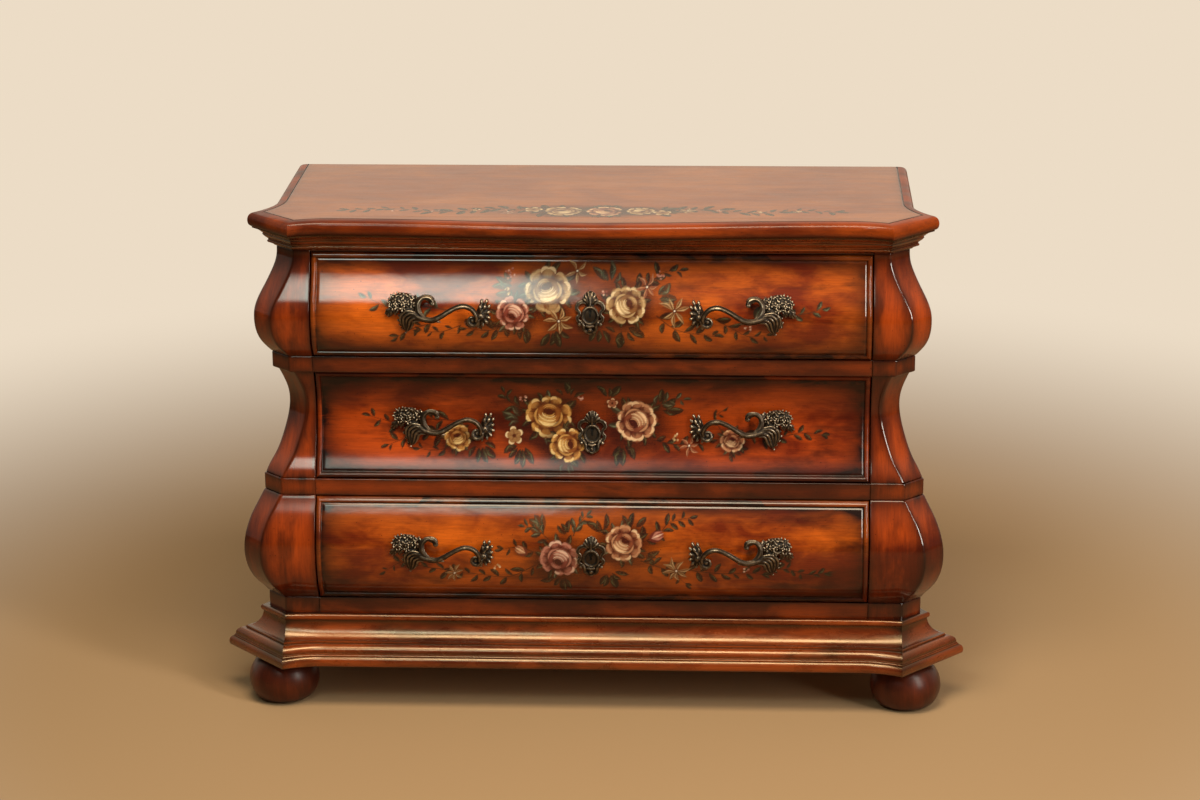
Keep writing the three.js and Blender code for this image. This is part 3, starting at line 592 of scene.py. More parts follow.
def section_points(runs, level):
    """Section points (share, z, darkening): darker at hollows and crisp lines, partly dark finish, partly
    painted shade.
    """
    points = []
    for before, run in zip(runs, runs[1:]):
        line = smooth_run(before[-1:] + run, RUN_STEPS if len(run) > 2 else SHORT_RUN_STEPS)
        for i, (share, rise) in enumerate(line):
            ends = min(i, len(line) - 1 - i) / max(1, len(line) - 1)
            points.append((share, level(rise), CREASE_AGE_AND_SHADE * max(0.0, 1 - ends / CREASE_SHARE)))
    return points


def add_mouldings(name, section, inner_plan, outer_plan):
    """A front run mitred at its corners to a left and a right run."""
    plans = inner_plan, outer_plan
    front, side = [mirrored(front_half(p)) for p in plans], [side_half(p, CASE_REAR) for p in plans]
    for place, (inner, outer), mirror in (("front", front, 1), ("right", side, 1), ("left", side, -1)):
        lengths = along_lengths(outer)
        rings, ages_and_shades, grains = [], [], []
        for length, (ix, iy), (ox, oy) in zip(lengths, inner, outer):
            end_age = faded(min(length, lengths[-1] - length), MITRE_REACH, MITRE_AGE)
            rings.append([(mirror * (ix + (ox - ix) * s), FACE_Y + iy + (oy - iy) * s, z)
                          for s, z, _ in section])
            ages_and_shades.append([min(1.0, age_and_shade + end_age) for _, _, age_and_shade in section])
            grains.append([(length, z, s * SECTION_GRAIN + mirror) for s, z, _ in section])
        add_skin(f"{name}_{place}_moulded", rings, ages_and_shades, grains, [moulding_wood],
                 "case", [f"{name}_{place}"], "moulding_wood")


cornice = section_points(CORNICE_SHARES, lambda drop: CASE_TOP - drop * (CASE_TOP - NECK_Z))
# The point at the neck is darkest: painted shade where the cornice meets the case
cornice.append((0.0, NECK_Z, 1.0))
add_mouldings("cornice", cornice, case_plan(CLEARANCE - NECK_SETBACK), NOSE_PLAN)
plinth = section_points(PLINTH_SHARES, lambda rise: PLINTH_BOTTOM + rise * (PLINTH_TOP - PLINTH_BOTTOM))
# The points against the case are darkest: painted shade where the plinth meets the case
plinth += [(share, CASE_BOTTOM, 1.0) for share in (0.0, PLINTH_LEDGE_SHARE)]
add_mouldings("plinth", plinth, case_plan(LOWER_PLANE + CLEARANCE), PLINTH_PLAN)

# Top panel: [share of the way out to the nose, share of the thickness], up to the scribed line
TOP_UNDER_SHARES = [0.3, 0.86]
NOSE_SHARES = [[0.86, 1], [0.93, 0.93], [0.985, 0.77], [1, 0.56], [0.965, 0.36], [0.87, 0.19], [0.7, 0.075],
            [0.45, 0.02], [0.12, 0.0]]
NOSE_STEPS = 26
# Below this share of the thickness the nose narrows towards the neck, and above it towards the line
NOSE_TURN_SHARE = 0.6
SCRIBE_SHARES = [[0.1, 0.0], [0.07, 0.012], [0.05, 0.06], [0.02, 0.06], [0.0, 0.012], [-0.03, 0.0]]
FIELD_SHARES = [-0.1, -0.25, -0.5, -0.9]
NOSE_AGE = 0.25
# The nose darkens with painted shade below the middle of its height, and darkens towards the line, by these
# much a share
NOSE_UNDER_SHADE_SHARE, NOSE_UNDER_SHADE_RATE = 0.5, 1.8
NOSE_LINE_AGE, NOSE_LINE_RATE = 0.5, 2.5
FIELD_AGE, FIELD_REACH_SHARE = 0.5, 0.4
NOSE_SHARP_ANGLE = 40


def nose_age_and_shade(share, drop):
    """The nose darkens towards its underside as painted shade, and towards the scribed line."""
    return max(NOSE_AGE, (drop - NOSE_UNDER_SHADE_SHARE) * NOSE_UNDER_SHADE_RATE, NOSE_LINE_AGE - NOSE_LINE_RATE * share)


def add_top():
    neck, line, nose = (mirrored(front_half(plan)[:-1] + side_half(plan, TOP_BACK))
                        for plan in (case_plan(-NECK_SETBACK), LINE_PLAN, NOSE_PLAN))
    # The underside of the top is darkest: painted shade under the nose
    levels = [(neck, share, 1.0, 1.0) for share in TOP_UNDER_SHARES]
    for share, drop in smooth_run(NOSE_SHARES, NOSE_STEPS):
        levels.append((neck if drop > NOSE_TURN_SHARE else line, share, drop, nose_age_and_shade(share, drop)))
    nose_levels = len(levels)
    levels += [(line, share, drop, 1.0) for share, drop in SCRIBE_SHARES]
    levels += [(line, share, 0.0, faded(-share, FIELD_REACH_SHARE, FIELD_AGE)) for share in FIELD_SHARES]
    rings, ages_and_shades = [], []
    for start, share, drop, age_and_shade in levels:
        z = TOP_Z - drop * (TOP_Z - TOP_UNDER)
        rings.append([(ix + (ox - ix) * share, FACE_Y + iy + (oy - iy) * share, z)
                      for (ix, iy), (ox, oy) in zip(start, nose)])
        ages_and_shades.append([min(1.0, age_and_shade)] * len(nose))
    board = add_skin("top_board", rings, ages_and_shades, rings, [top_wood, nose_wood],
                     "case", ["top_panel"], "case_wood", sharp_angle=NOSE_SHARP_ANGLE)
    for polygon in board.data.polygons[:nose_levels * len(nose)]:
        polygon.material_index = 1


add_top()

# Front corner posts, side panels and rails
ARRIS_RADIUS = 4.5 * MM
ARRIS_FLAT = 1.7 * MM
ARRIS_SPREAD = 1.25
WORN_SHARES = [0.08, 0.35, 0.65, 0.92]
TIP_RADIUS = 3 * MM
OPENING_RADIUS = 2 * MM
ARC_SHARES = [0, 0.25, 0.5, 0.75, 1]
FACE_SHARES = [0.12, 0.25, 0.4, 0.55, 0.7, 0.85]
POST_SIDE_SHARES = [0.08, 0.16, 0.26, 0.4, 0.55, 0.7, 0.85, 1.0]
# Painted shade spreads this far from each crease between the bands; dark finish this far from each worn edge
CREASE_SHADE_REACH, ARRIS_REACH = 25 * MM, 12 * MM
# Each board reads its grain at its own distance, so that no two look alike
POST_GRAIN, PANEL_GRAIN = 0.1, 0.3
PANEL_PLACES = [0, 2, 5, 10, 20, 40]
PANEL_EDGE_AGE, PANEL_EDGE_REACH = 0.6, 12 * MM
RAIL_RADIUS = 1.4 * MM
RAIL_PLACES = [0, 1, 4, 9, 18, 40]
RAIL_FACE_SHARES = [0.12, 0.25, 0.5, 0.75, 0.88]
RAIL_END_AGE, RAIL_END_REACH = 0.75, 10 * MM
# The rails darken all over and along their edges: partly dark finish, partly painted shade between the
# swelling drawers
RAIL_AGE_AND_SHADE, RAIL_EDGE_AGE_AND_SHADE, RAIL_EDGE_REACH = 0.36, 0.54, 8 * MM
SIDES = ("left", -1), ("right", 1)


def rounded_corner(before, corner, after, radius):
    """A small curve in place of a corner."""
    before, corner, after = (np.array(p) for p in (before, corner, after))
    start, end = corner + radius * unit(before - corner), corner + radius * unit(after - corner)
    return [tuple((1 - t) ** 2 * start + 2 * t * (1 - t) * corner + t * t * end) for t in ARC_SHARES]


def worn_corner(before, corner, after, radius, flat):
    """A corner worn to a narrow flat with soft edges."""
    before, corner, after = (np.array(p) for p in (before, corner, after))
    back, ahead = unit(before - corner), unit(after - corner)
    middle = [corner + flat * (back + (ahead - back) * s) for s in WORN_SHARES]
    return [tuple(p) for p in [corner + back * radius, corner + back * ARRIS_SPREAD * flat, *middle,
                               corner + ahead * ARRIS_SPREAD * flat, corner + ahead * radius]]


def margins(start, end, places):
    """Places in from both ends, given in millimetres."""
    return [start + p * MM for p in places] + [end - p * MM for p in reversed(places)]


def post_outline(out):
    """Plan of a right post at one height: points with their distance to the nearest worn edge."""
    plan = case_plan(out)
    opening, corner, tip, back = (OPENING, -out), plan["corner"], plan["tip"], (OPENING, POST_DEPTH)
    side = [side_point(plan, v) for v in POST_SIDE_SHARES]
    points = rounded_corner(back, opening, corner, OPENING_RADIUS)
    points += straight(points[-1], corner, FACE_SHARES)
    points += worn_corner(opening, corner, tip, ARRIS_RADIUS, ARRIS_FLAT)
    points += straight(points[-1], tip, FACE_SHARES)
    points += rounded_corner(corner, tip, side[0], TIP_RADIUS) + side + [back]
    return points, [min(math.dist(p, edge) for edge in (opening, corner, tip)) for p in points]


def add_post(name, side):
    rings, ages_and_shades, grains = [], [], []
    for z, out, crease in case_profile():
        points, reach = post_outline(out)
        rings.append([(side * x, FACE_Y + y, z) for x, y in points])
        # Painted shade near the creases, dark finish along the worn edges
        ages_and_shades.append([max(faded(crease, CREASE_SHADE_REACH), faded(r, ARRIS_REACH)) for r in reach])
        grains.append([(z, length, POST_GRAIN * side) for length in along_lengths(points)])
    add_skin(f"{name}_corner_post", rings, ages_and_shades, grains, [case_wood],
             "case", [f"{name}_front_post"], "case_wood")


def add_side_panel(name, side):
    front, back = POST_DEPTH + CLEARANCE, SIDE_BACK
    rings, ages_and_shades, grains = [], [], []
    for z, out, crease in case_profile():
        outer = POST + out - SIDE_RECESS
        ring = [(outer, y) for y in margins(front, back, PANEL_PLACES)]
        ring += [(outer - SIDE_THICKNESS, back), (outer - SIDE_THICKNESS, front)]
        rings.append([(side * x, FACE_Y + y, z) for x, y in ring])
        edges = [faded(min(y - front, back - y), PANEL_EDGE_REACH, PANEL_EDGE_AGE) for _, y in ring]
        # Painted shade near the creases, dark finish along the edges
        ages_and_shades.append([max(faded(crease, CREASE_SHADE_REACH), edge) for edge in edges])
        grains.append([(z, y, PANEL_GRAIN * side) for _, y in ring])
    add_skin(f"{name}_side_board", rings, ages_and_shades, grains, [case_wood],
             "case", [f"{name}_side_panel"], "case_wood")


def add_rail(node):
    (x0, y0, z0), (x1, y1, z1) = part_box(node)
    corners = [(y1, z0), (y0, z0), (y0, z1), (y1, z1)]
    section = [corners[0]] + rounded_corner(*corners[:3], RAIL_RADIUS)
    section += straight(corners[1], corners[2], RAIL_FACE_SHARES)
    section += rounded_corner(*corners[1:], RAIL_RADIUS) + [corners[3]]
    rings, ages_and_shades, grains = [], [], []
    for x in margins(x0, x1, RAIL_PLACES):
        end_age = faded(min(x - x0, x1 - x), RAIL_END_REACH, RAIL_END_AGE)
        # Painted shade and dark finish, most near the edges
        edge_ages = [RAIL_AGE_AND_SHADE + faded(min(z - z0, z1 - z), RAIL_EDGE_REACH, RAIL_EDGE_AGE_AND_SHADE)
                     for _, z in section]
        rings.append([(x, y, z) for y, z in section])
        ages_and_shades.append([max(end_age, edge_age) for edge_age in edge_ages])
        grains.append([(x, z, y) for y, z in section])
    add_skin(f"{node}_board", rings, ages_and_shades, grains, [case_wood], "case", [node], "case_wood")


for name, side in SIDES:
    add_post(name, side)
for name, side in SIDES:
    add_side_panel(name, side)
for rail in ("top_rail", "upper_rail", "lower_rail", "bottom_rail"):
    add_rail(rail)


def composed(work, forms):
    """A painting or a casting with each form added to it: a kind of form, then its values."""
    for kind, *values in forms:
        kind(work, *values)
    return work


# Painted sprays: dabs and strokes laid over one another, in millimetres from the middle of a face
PAINT_SEED = 7
BRUSH_STEP = 1.6
ARC_POINTS = 7


def brush_line(points):
    if len(points) == 2:
        points = [points[0], np.mean(points, axis=0), points[1]]
    return smooth_line(points, BRUSH_STEP)[0]


class Painting:
    """A grid of places over a face, with the colour and the cover of the paint on each."""

    def __init__(self, along, up):
        self.along, self.up = np.array(along), np.array(up)
        self.colour = np.zeros((len(up), len(along), 3))
        self.cover = np.zeros((len(up), len(along)))
        self.chance = random.Random(PAINT_SEED)

    def part(self, low, high):
        """The part of the grid between two corners, with its places."""
        columns = slice(*np.searchsorted(self.along, [low[0], high[0]]))
        rows = slice(*np.searchsorted(self.up, [low[1], high[1]]))
        xs, zs = np.meshgrid(self.along[columns], self.up[rows])
        return (rows, columns), xs, zs

    def lay(self, part, amount, colour):
        amount, cover = amount[..., None], self.cover[part][..., None]
        total = amount + cover * (1 - amount)
        mixed = np.array(colour[:3]) * amount + self.colour[part] * cover * (1 - amount)
        self.colour[part] = mixed / np.maximum(total, 1e-6)
        self.cover[part] = total[..., 0]

    def dab(self, place, radii, turn, colour, cover=0.9, soft=0.25):
        """An oval of paint whose edge fades over the given share of its radius."""
        place, reach = np.array(place, float), max(radii) * (1 + soft)
        part, xs, zs = self.part(place - reach, place + reach)
        cosine, sine = math.cos(turn), math.sin(turn)
        u = (cosine * (xs - place[0]) + sine * (zs - place[1])) / radii[0]
        v = (cosine * (zs - place[1]) - sine * (xs - place[0])) / radii[1]
        fade = np.clip((1 + soft / 2 - np.hypot(u, v)) / soft, 0, 1)
        self.lay(part, cover * fade * fade * (3 - 2 * fade), colour)

    def spot(self, place, radius, colour, cover=0.9, soft=0.5):
        self.dab(place, (radius, radius), 0, colour, cover, soft)

    def stroke(self, points, widths, colour, cover=0.9, soft=0.9):
        """A brush stroke along a smooth line, with its half widths from start to end."""
        line = brush_line(points)
        half = np.interp(np.linspace(0, 1, len(line)), np.linspace(0, 1, len(widths)), widths)
        margin = max(widths) + soft
        part, xs, zs = self.part(line.min(0) - margin, line.max(0) + margin)
        amount = np.zeros(xs.shape)
        for a, b, wide_a, wide_b in zip(line[:-1], line[1:], half[:-1], half[1:]):
            step = b - a
            share = ((xs - a[0]) * step[0] + (zs - a[1]) * step[1]) / (step @ step + 1e-9)
            share = np.clip(share, 0, 1)
            away = np.hypot(xs - a[0] - share * step[0], zs - a[1] - share * step[1])
            edge = (wide_a + (wide_b - wide_a) * share - away) / soft + 0.5
            amount = np.maximum(amount, np.clip(edge, 0, 1))
        self.lay(part, cover * amount, colour)

    def arc(self, centre, radius, start, end, width, colour, cover=0.9, squash=1.0):
        """A crescent: a stroke round part of a circle, widest in its middle."""
        points = [(centre[0] + radius * math.cos(t), centre[1] + squash * radius * math.sin(t))
                  for t in np.linspace(start, end, ARC_POINTS)]
        swells = [math.sin(math.pi * i / (ARC_POINTS - 1)) for i in range(ARC_POINTS)]
        self.stroke(points, [width * (0.15 + 0.85 * swell) for swell in swells], colour, cover)

    def laid(self, spare):
        """Colour times cover, and cover, for each place of the grid and some bare places after each row."""
        values = np.dstack([self.colour * self.cover[..., None], self.cover])
        return np.pad(values, ((0, 0), (0, spare), (0, 0))).reshape(-1, 4)


# Palettes: deep, shadow, body, light, lightest
CREAM = srgb(66, 28, 13), srgb(102, 60, 31), srgb(140, 104, 64), srgb(182, 152, 108), srgb(222, 198, 156)
GOLDEN = srgb(62, 22, 9), srgb(106, 54, 20), srgb(148, 92, 40), srgb(190, 142, 76), srgb(226, 194, 132)
PINK = srgb(52, 16, 14), srgb(90, 34, 29), srgb(130, 66, 54), srgb(176, 118, 100), srgb(220, 182, 160)
BLUSH = srgb(54, 17, 12), srgb(94, 42, 29), srgb(138, 80, 54), srgb(182, 132, 96), srgb(224, 188, 148)
# Leaves: shade, body, light
DARK_LEAF = srgb(26, 20, 11), srgb(54, 49, 29), srgb(98, 96, 64)
SAGE_LEAF = srgb(40, 38, 26), srgb(76, 80, 58), srgb(126, 132, 104)
GLAZE, BROWN, EYE = srgb(46, 13, 5), srgb(74, 34, 16), srgb(240, 232, 214)
LONG_LEAF = 14


def leaf(art, base, angle, length, wide, tones, cover=0.85):
    bend = art.chance.uniform(-0.25, 0.25)
    middle, tip = towards(base, angle + bend, length * 0.5), towards(base, angle, length)
    side = art.chance.choice((-1, 1)) * math.pi / 2
    wide, cover = 1.2 * wide, min(0.96, 1.12 * cover)
    art.stroke([base, middle, tip], [0.3, 0.75 * wide, wide, 0.8 * wide, 0.2], tones[0], cover)
    lifted = towards(middle, angle + side, 0.45 * wide)
    art.stroke([base, lifted, tip], [0.1, 0.3 * wide, 0.45 * wide, 0.25 * wide, 0.1], tones[1], 0.8 * cover)
    if length > LONG_LEAF:
        start, end = towards(base, angle, 0.3 * length), towards(base, angle, 0.85 * length)
        lifted = towards(middle, angle + side, 0.6 * wide)
        art.stroke([start, lifted, end], [0.1, 0.16 * wide, 0.1], tones[2], 0.7 * cover)
        art.stroke([base, middle, tip], [0.2, 0.3, 0.15], tones[0], 0.7 * cover)


def sprig(art, points, length, count, tones=DARK_LEAF):
    """A stem with leaves on alternate sides that get smaller towards its tip."""
    line = brush_line(points)
    art.stroke(points, [0.8, 0.6, 0.3], tones[0])
    leaves = round(1.5 * count)
    for k in range(leaves):
        share = (k + art.chance.uniform(0.2, 0.8)) / leaves
        i = int(share * (len(line) - 1))
        place, after = line[min(len(line) - 2, i)], line[min(len(line) - 1, i + 1)]
        along = math.atan2(after[1] - place[1], after[0] - place[0])
        size = length * (1.3 - 0.45 * share) * art.chance.uniform(0.65, 1.1)
        turn = along + (-1) ** k * art.chance.uniform(0.4, 1.15)
        leaf(art, towards(place, turn, 1.5), turn, size, art.chance.uniform(0.15, 0.22) * size, tones, 0.9)
    along = math.atan2(line[-1][1] - line[-3][1], line[-1][0] - line[-3][0])
    leaf(art, line[-1], along, 0.8 * length, 0.14 * length, tones, 0.9)


def fan(art, place, angle, spread, count, length, cover, start, tones=DARK_LEAF):
    for k in range(count):
        turn = angle + spread * (k / max(1, count - 1) - 0.5) + art.chance.uniform(-0.2, 0.2)
        size = length * art.chance.uniform(0.7, 1.25)
        root = towards(place, turn, start * art.chance.uniform(0.6, 1.1))
        leaf(art, root, turn, size, art.chance.uniform(0.15, 0.21) * size, tones, cover)


ROSE_LEAVES, ROSE_PETALS, ROSE_FOLDS = 11, 9, 6


def rose(art, place, radius, heading, palette, flat=0.9):
    """A full rose: ruffled outer petals round a cup whose mouth leans towards the heading."""
    deep, shadow, body, light, lightest = palette
    uniform, away = art.chance.uniform, heading + math.pi

    def at(angle, share):
        return place[0] + share * radius * math.cos(angle), place[1] + share * flat * radius * math.sin(angle)

    def oval(centre, across, up, turn, colour, cover, soft):
        art.dab(centre, (across * radius, up * radius), turn, colour, cover, soft)

    def fold(centre, reach, start, end, width, colour, cover):
        art.arc(centre, reach * radius, start, end, width * radius, colour, cover, flat)

    oval(at(-math.pi / 2, 0.12), 1.55, 1.42 * flat, 0, GLAZE, 0.85, 0.8)
    for k in range(ROSE_LEAVES):
        turn = heading + 2 * math.pi * k / ROSE_LEAVES + uniform(-0.25, 0.25)
        size = uniform(0.42, 0.66) * radius + 3
        slant = uniform(-0.4, 0.4)
        tones = DARK_LEAF if art.chance.random() < 0.75 else SAGE_LEAF
        leaf(art, at(turn, 0.78), turn + slant, size, 0.17 * size, tones, 0.8)
    step = 2 * math.pi / ROSE_PETALS
    for k in sorted(range(ROSE_PETALS), key=lambda k: -math.sin(heading + step * k)):
        angle = heading + step * (k + 0.5) + uniform(-0.16, 0.16)
        size = uniform(0.29, 0.43)
        middle = at(angle, uniform(0.6, 0.73))
        oval(towards(middle, angle, -0.1 * size * radius), 1.06 * size, 0.92 * size, angle, deep, 0.6, 0.3)
        oval(middle, size, 0.86 * size, angle, shadow, 0.95, 0.2)
        oval(at(angle, 0.76), 0.78 * size, 0.62 * size, angle, body, 0.72, 0.6)
        oval(at(angle, 0.86), 0.5 * size, 0.46 * size, angle, light, 0.36, 0.8)
        for half in (-1, 1):
            scallop = towards(middle, angle + half * 0.62, 0.42 * size * radius)
            turn = angle + half * 0.5
            art.arc(scallop, 0.5 * size * radius, turn - 1.15, turn + 1.15, 0.075 * radius,
                    light if art.chance.random() < 0.5 else lightest, 0.85)
        art.stroke([at(angle, 0.52), at(angle + 0.06, 0.86)], [0.2, 0.045 * radius, 0.2], light, 0.4)
    for k in range(ROSE_PETALS):
        angle = heading + step * k + uniform(-0.08, 0.08)
        art.stroke([at(angle, 0.55), at(angle + 0.06, 0.9)], [0.3, 0.05 * radius, 0.2], deep, 0.6)
    for wide, tall, *paint in ((0.75, 0.73, deep, 0.85, 0.4), (0.62, 0.61, shadow, 0.95, 0.2),
                               (0.54, 0.52, body, 0.62, 0.45)):
        oval(place, wide, tall * flat, 0, *paint)
    mouth = at(heading, 0.2)
    oval(at(away, 0.3), 0.3, 0.34, heading, light, 0.4, 0.9)
    oval(mouth, 0.3, 0.36, heading, shadow, 0.8, 0.5)
    oval(mouth, 0.2, 0.28, heading, deep, 0.97, 0.35)
    for k in range(ROSE_FOLDS):
        reach, span, turn = 0.24 + 0.085 * k, 1.25 - 0.1 * k, away + uniform(-0.22, 0.22)
        fold(mouth, reach - 0.045, turn - span, turn + span, 0.034, deep, 0.6)
        fold(mouth, reach, turn - span, turn + span, 0.05 + 0.004 * k, (light, lightest)[k % 2], 0.85)
    for k in range(ROSE_FOLDS // 2):
        turn = heading + uniform(-0.3, 0.3)
        fold(mouth, 0.2 + 0.08 * k, turn - 1.0, turn + 1.0, 0.035, light if k else body, 0.8)
    for side in (-1, 1):
        start = away + side * 0.5
        fold(place, 0.6, start, start + side * 1.5, 0.07, light, 0.85)
        fold(place, 0.53, start + side * 0.1, start + side * 1.3, 0.045, deep, 0.6)
    fold(mouth, 0.66, away - 0.7, away + 0.5, 0.08, lightest, 0.9)
    for _ in range(4):
        turn = heading + uniform(1.2, 5.0)
        fold(place, uniform(0.62, 0.72), turn, turn + 0.5, 0.03, deep, 0.55)


def star(art, place, radius, petals, turn, palette, dark=False):
    """Narrow pointed petals with light edges round a pale eye."""
    deep, shadow, body, light, _ = palette
    wide = 0.13 * radius
    art.dab(place, (0.9 * radius, 0.8 * radius), 0, GLAZE, 0.4, 0.9)
    for k in range(petals):
        angle = turn + 2 * math.pi * k / petals + art.chance.uniform(-0.15, 0.15)
        reach = radius * art.chance.uniform(0.78, 1.1)
        tip = towards(place, angle, reach)
        middle = towards(place, angle + art.chance.uniform(-0.3, 0.3), 0.55 * reach)
        widths = [0.3, 0.7 * wide, wide, 0.7 * wide, 0.15]
        art.stroke([place, middle, tip], widths, BROWN if dark else shadow, 0.85)
        for side, tone in ((-1, light), (1, body)):
            start = towards(place, angle, 0.12 * reach)
            edge = towards(middle, angle + side * math.pi / 2, 0.6 * wide)
            art.stroke([start, edge, tip], [0.2, 0.3 * wide + 0.25, 0.2], tone, 0.85)
    art.spot(place, 0.12 * radius, deep, soft=0.4)
    for k in range(5):
        art.spot(towards(place, 1.26 * k, 0.16 * radius), 0.7, shadow)
    art.spot(place, 1.5, EYE, 0.95)


def blossom(art, place, radius, turn, palette):
    """Five round petals with pale edges."""
    deep, shadow, body, _, lightest = palette
    art.dab(place, (1.2 * radius, 1.1 * radius), 0, GLAZE, 0.4, 0.9)
    for k in range(5):
        angle = turn + 2 * math.pi * k / 5
        petal = towards(place, angle, 0.58 * radius)
        art.dab(petal, (0.42 * radius, 0.36 * radius), angle, body)
        art.arc(petal, 0.34 * radius, angle - 1.2, angle + 1.2, 0.11 * radius, lightest, 0.85)
        art.stroke([place, petal], [0.2, 0.07 * radius, 0.1], shadow, 0.7)
    art.spot(place, 0.2 * radius, deep, soft=0.4)


def dots(art, place, radius, count, palette):
    """A head of tiny blossoms."""
    for _ in range(count):
        spot = towards(place, art.chance.uniform(0, 2 * math.pi), radius * math.sqrt(art.chance.random()))
        size = art.chance.uniform(1.1, 2.0)
        art.spot(spot, size, palette[art.chance.choice((2, 3, 3, 4))])
    art.spot(place, 0.9, palette[0])


def bud(art, place, radius, angle, palette):
    _, shadow, body, light, lightest = palette
    art.dab(place, (1.2 * radius, radius), angle, GLAZE, 0.4, 0.9)
    art.dab(place, (radius, 0.75 * radius), angle, shadow)
    art.dab(towards(place, angle, 0.25 * radius), (0.7 * radius, 0.55 * radius), angle, body, 0.9, 0.4)
    root = towards(place, angle + math.pi, 0.7 * radius)
    for side, tone in ((-1, light), (0, lightest), (1, light)):
        middle = towards(place, angle + side * 1.2, 0.45 * radius)
        tip = towards(place, angle + side * 0.35, 1.05 * radius)
        art.stroke([root, middle, tip], [0.2, 0.16 * radius, 0.1], tone, 0.8)


def row_of_dots(art, places, drift):
    """Heads of tiny blossoms along a garland, pink and cream in turn."""
    for x in places:
        dots(art, (x, art.chance.uniform(-drift, drift)), 8, 11, PINK if x % 4 else CREAM)


# What is painted on each face, from the ground up: a kind of form, then its place, sizes and colours
UPPER_SPRAY = [
    (Painting.dab, (-10, 0), (190, 60), 0, GLAZE, 0.45, 1.2),
    (sprig, [(-230, -2), (-290, 6), (-332, 2), (-372, 18)], 20, 7, SAGE_LEAF),
    (sprig, [(-262, -22), (-300, -34), (-322, -48)], 18, 4),
    (sprig, [(-215, -26), (-250, -38), (-283, -36)], 16, 4),
    (dots, (-205, -22), 6, 7, PINK),
    (sprig, [(-130, -20), (-165, -34), (-205, -32)], 20, 5),
    (fan, (-108, -20), -1.75, 1.1, 4, 24, 0.8, 12),
    (fan, (-120, 30), 2.9, 1.5, 5, 26, 0.7, 18, SAGE_LEAF),
    (fan, (-60, -26), -1.5, 1.3, 5, 26, 0.85, 14),
    (fan, (16, -22), -1.5, 1.6, 5, 25, 0.8, 14),
    (fan, (52, -20), -1.1, 1.4, 5, 25, 0.85, 18),
    (fan, (34, 34), 1.65, 1.3, 5, 25, 0.75, 14, SAGE_LEAF),
    (sprig, [(76, 30), (100, 44), (120, 58), (148, 62)], 19, 5),
    (fan, (108, 20), 0.35, 1.4, 4, 24, 0.7, 8, SAGE_LEAF),
    (sprig, [(110, -8), (140, -30), (170, -38), (205, -42)], 22, 6),
    (sprig, [(205, -12), (238, -30), (262, -42), (292, -40)], 18, 5),
    (sprig, [(262, -14), (312, -8), (350, -4), (384, 4)], 18, 6, SAGE_LEAF),
    (dots, (262, -30), 6, 6, PINK),
    (rose, (-72, 30), 37, 1.9, CREAM, 0.82),
    (rose, (-128, -6), 27, -2.1, PINK, 0.95),
    (rose, (60, 8), 31, 0.5, CREAM, 0.92),
    (star, (-52, -18), 28, 7, 0.4, CREAM, True),
    (star, (-22, 60), 20, 5, 0.9, CREAM),
    (star, (94, 36), 21, 6, 0.2, BLUSH),
    (star, (140, 0), 26, 7, 0.1, CREAM, True),
    (dots, (-134, 56), 9, 12, PINK),
    (dots, (-140, 28), 6, 7, CREAM),
    (dots, (116, 54), 7, 10, PINK),
    (dots, (24, 26), 5, 7, PINK),
]
MIDDLE_SPRAY = [
    (Painting.dab, (0, -6), (210, 62), 0, GLAZE, 0.6, 1.2),
    (sprig, [(-222, 2), (-290, 4), (-330, -2), (-376, 8)], 20, 8),
    (sprig, [(-250, -16), (-300, -22), (-345, -38)], 19, 6),
    (sprig, [(-215, -36), (-262, -46), (-292, -44)], 17, 4),
    (fan, (-190, -30), -1.3, 2.0, 5, 21, 0.8, 12),
    (sprig, [(-110, 20), (-140, 36), (-148, 52)], 18, 4),
    (fan, (-118, 4), 2.7, 1.5, 5, 25, 0.65, 10, SAGE_LEAF),
    (fan, (-118, -34), -1.9, 1.4, 5, 25, 0.85, 12),
    (fan, (-44, -52), -1.5, 2.2, 5, 18, 0.65, 14, SAGE_LEAF),
    (fan, (-40, 40), 1.4, 1.8, 5, 20, 0.8, 12),
    (fan, (28, 40), 1.5, 1.6, 5, 22, 0.85, 8),
    (fan, (52, -30), -1.5, 1.4, 5, 25, 0.85, 10),
    (fan, (112, 24), 0.55, 1.6, 6, 24, 0.85, 12),
    (sprig, [(104, 28), (132, 40), (154, 42)], 17, 4, SAGE_LEAF),
    (sprig, [(104, -28), (146, -34), (196, -28)], 20, 6),
    (fan, (232, -30), -0.4, 2.2, 5, 20, 0.75, 14),
    (sprig, [(250, -16), (305, -22), (352, -14), (388, -16)], 17, 8),
    (sprig, [(216, -8), (206, 10), (220, 22)], 14, 3),
    (rose, (-74, 12), 37, 1.4, GOLDEN, 0.9),
    (rose, (-42, -36), 28, 0.2, GOLDEN, 0.92),
    (rose, (74, 4), 33, -2.4, BLUSH, 0.95),
    (rose, (-228, -26), 21, 1.9, GOLDEN, 0.9),
    (rose, (236, -28), 19, 1.2, BLUSH, 0.9),
    (blossom, (-132, -22), 15, 0.5, CREAM),
    (blossom, (34, 34), 9, 0.2, BLUSH),
    (dots, (-116, 40), 7, 9, PINK),
    (dots, (-20, 44), 6, 8, PINK),
    (star, (164, -36), 18, 6, 0.3, BLUSH),
    (dots, (142, -22), 6, 8, CREAM),
]
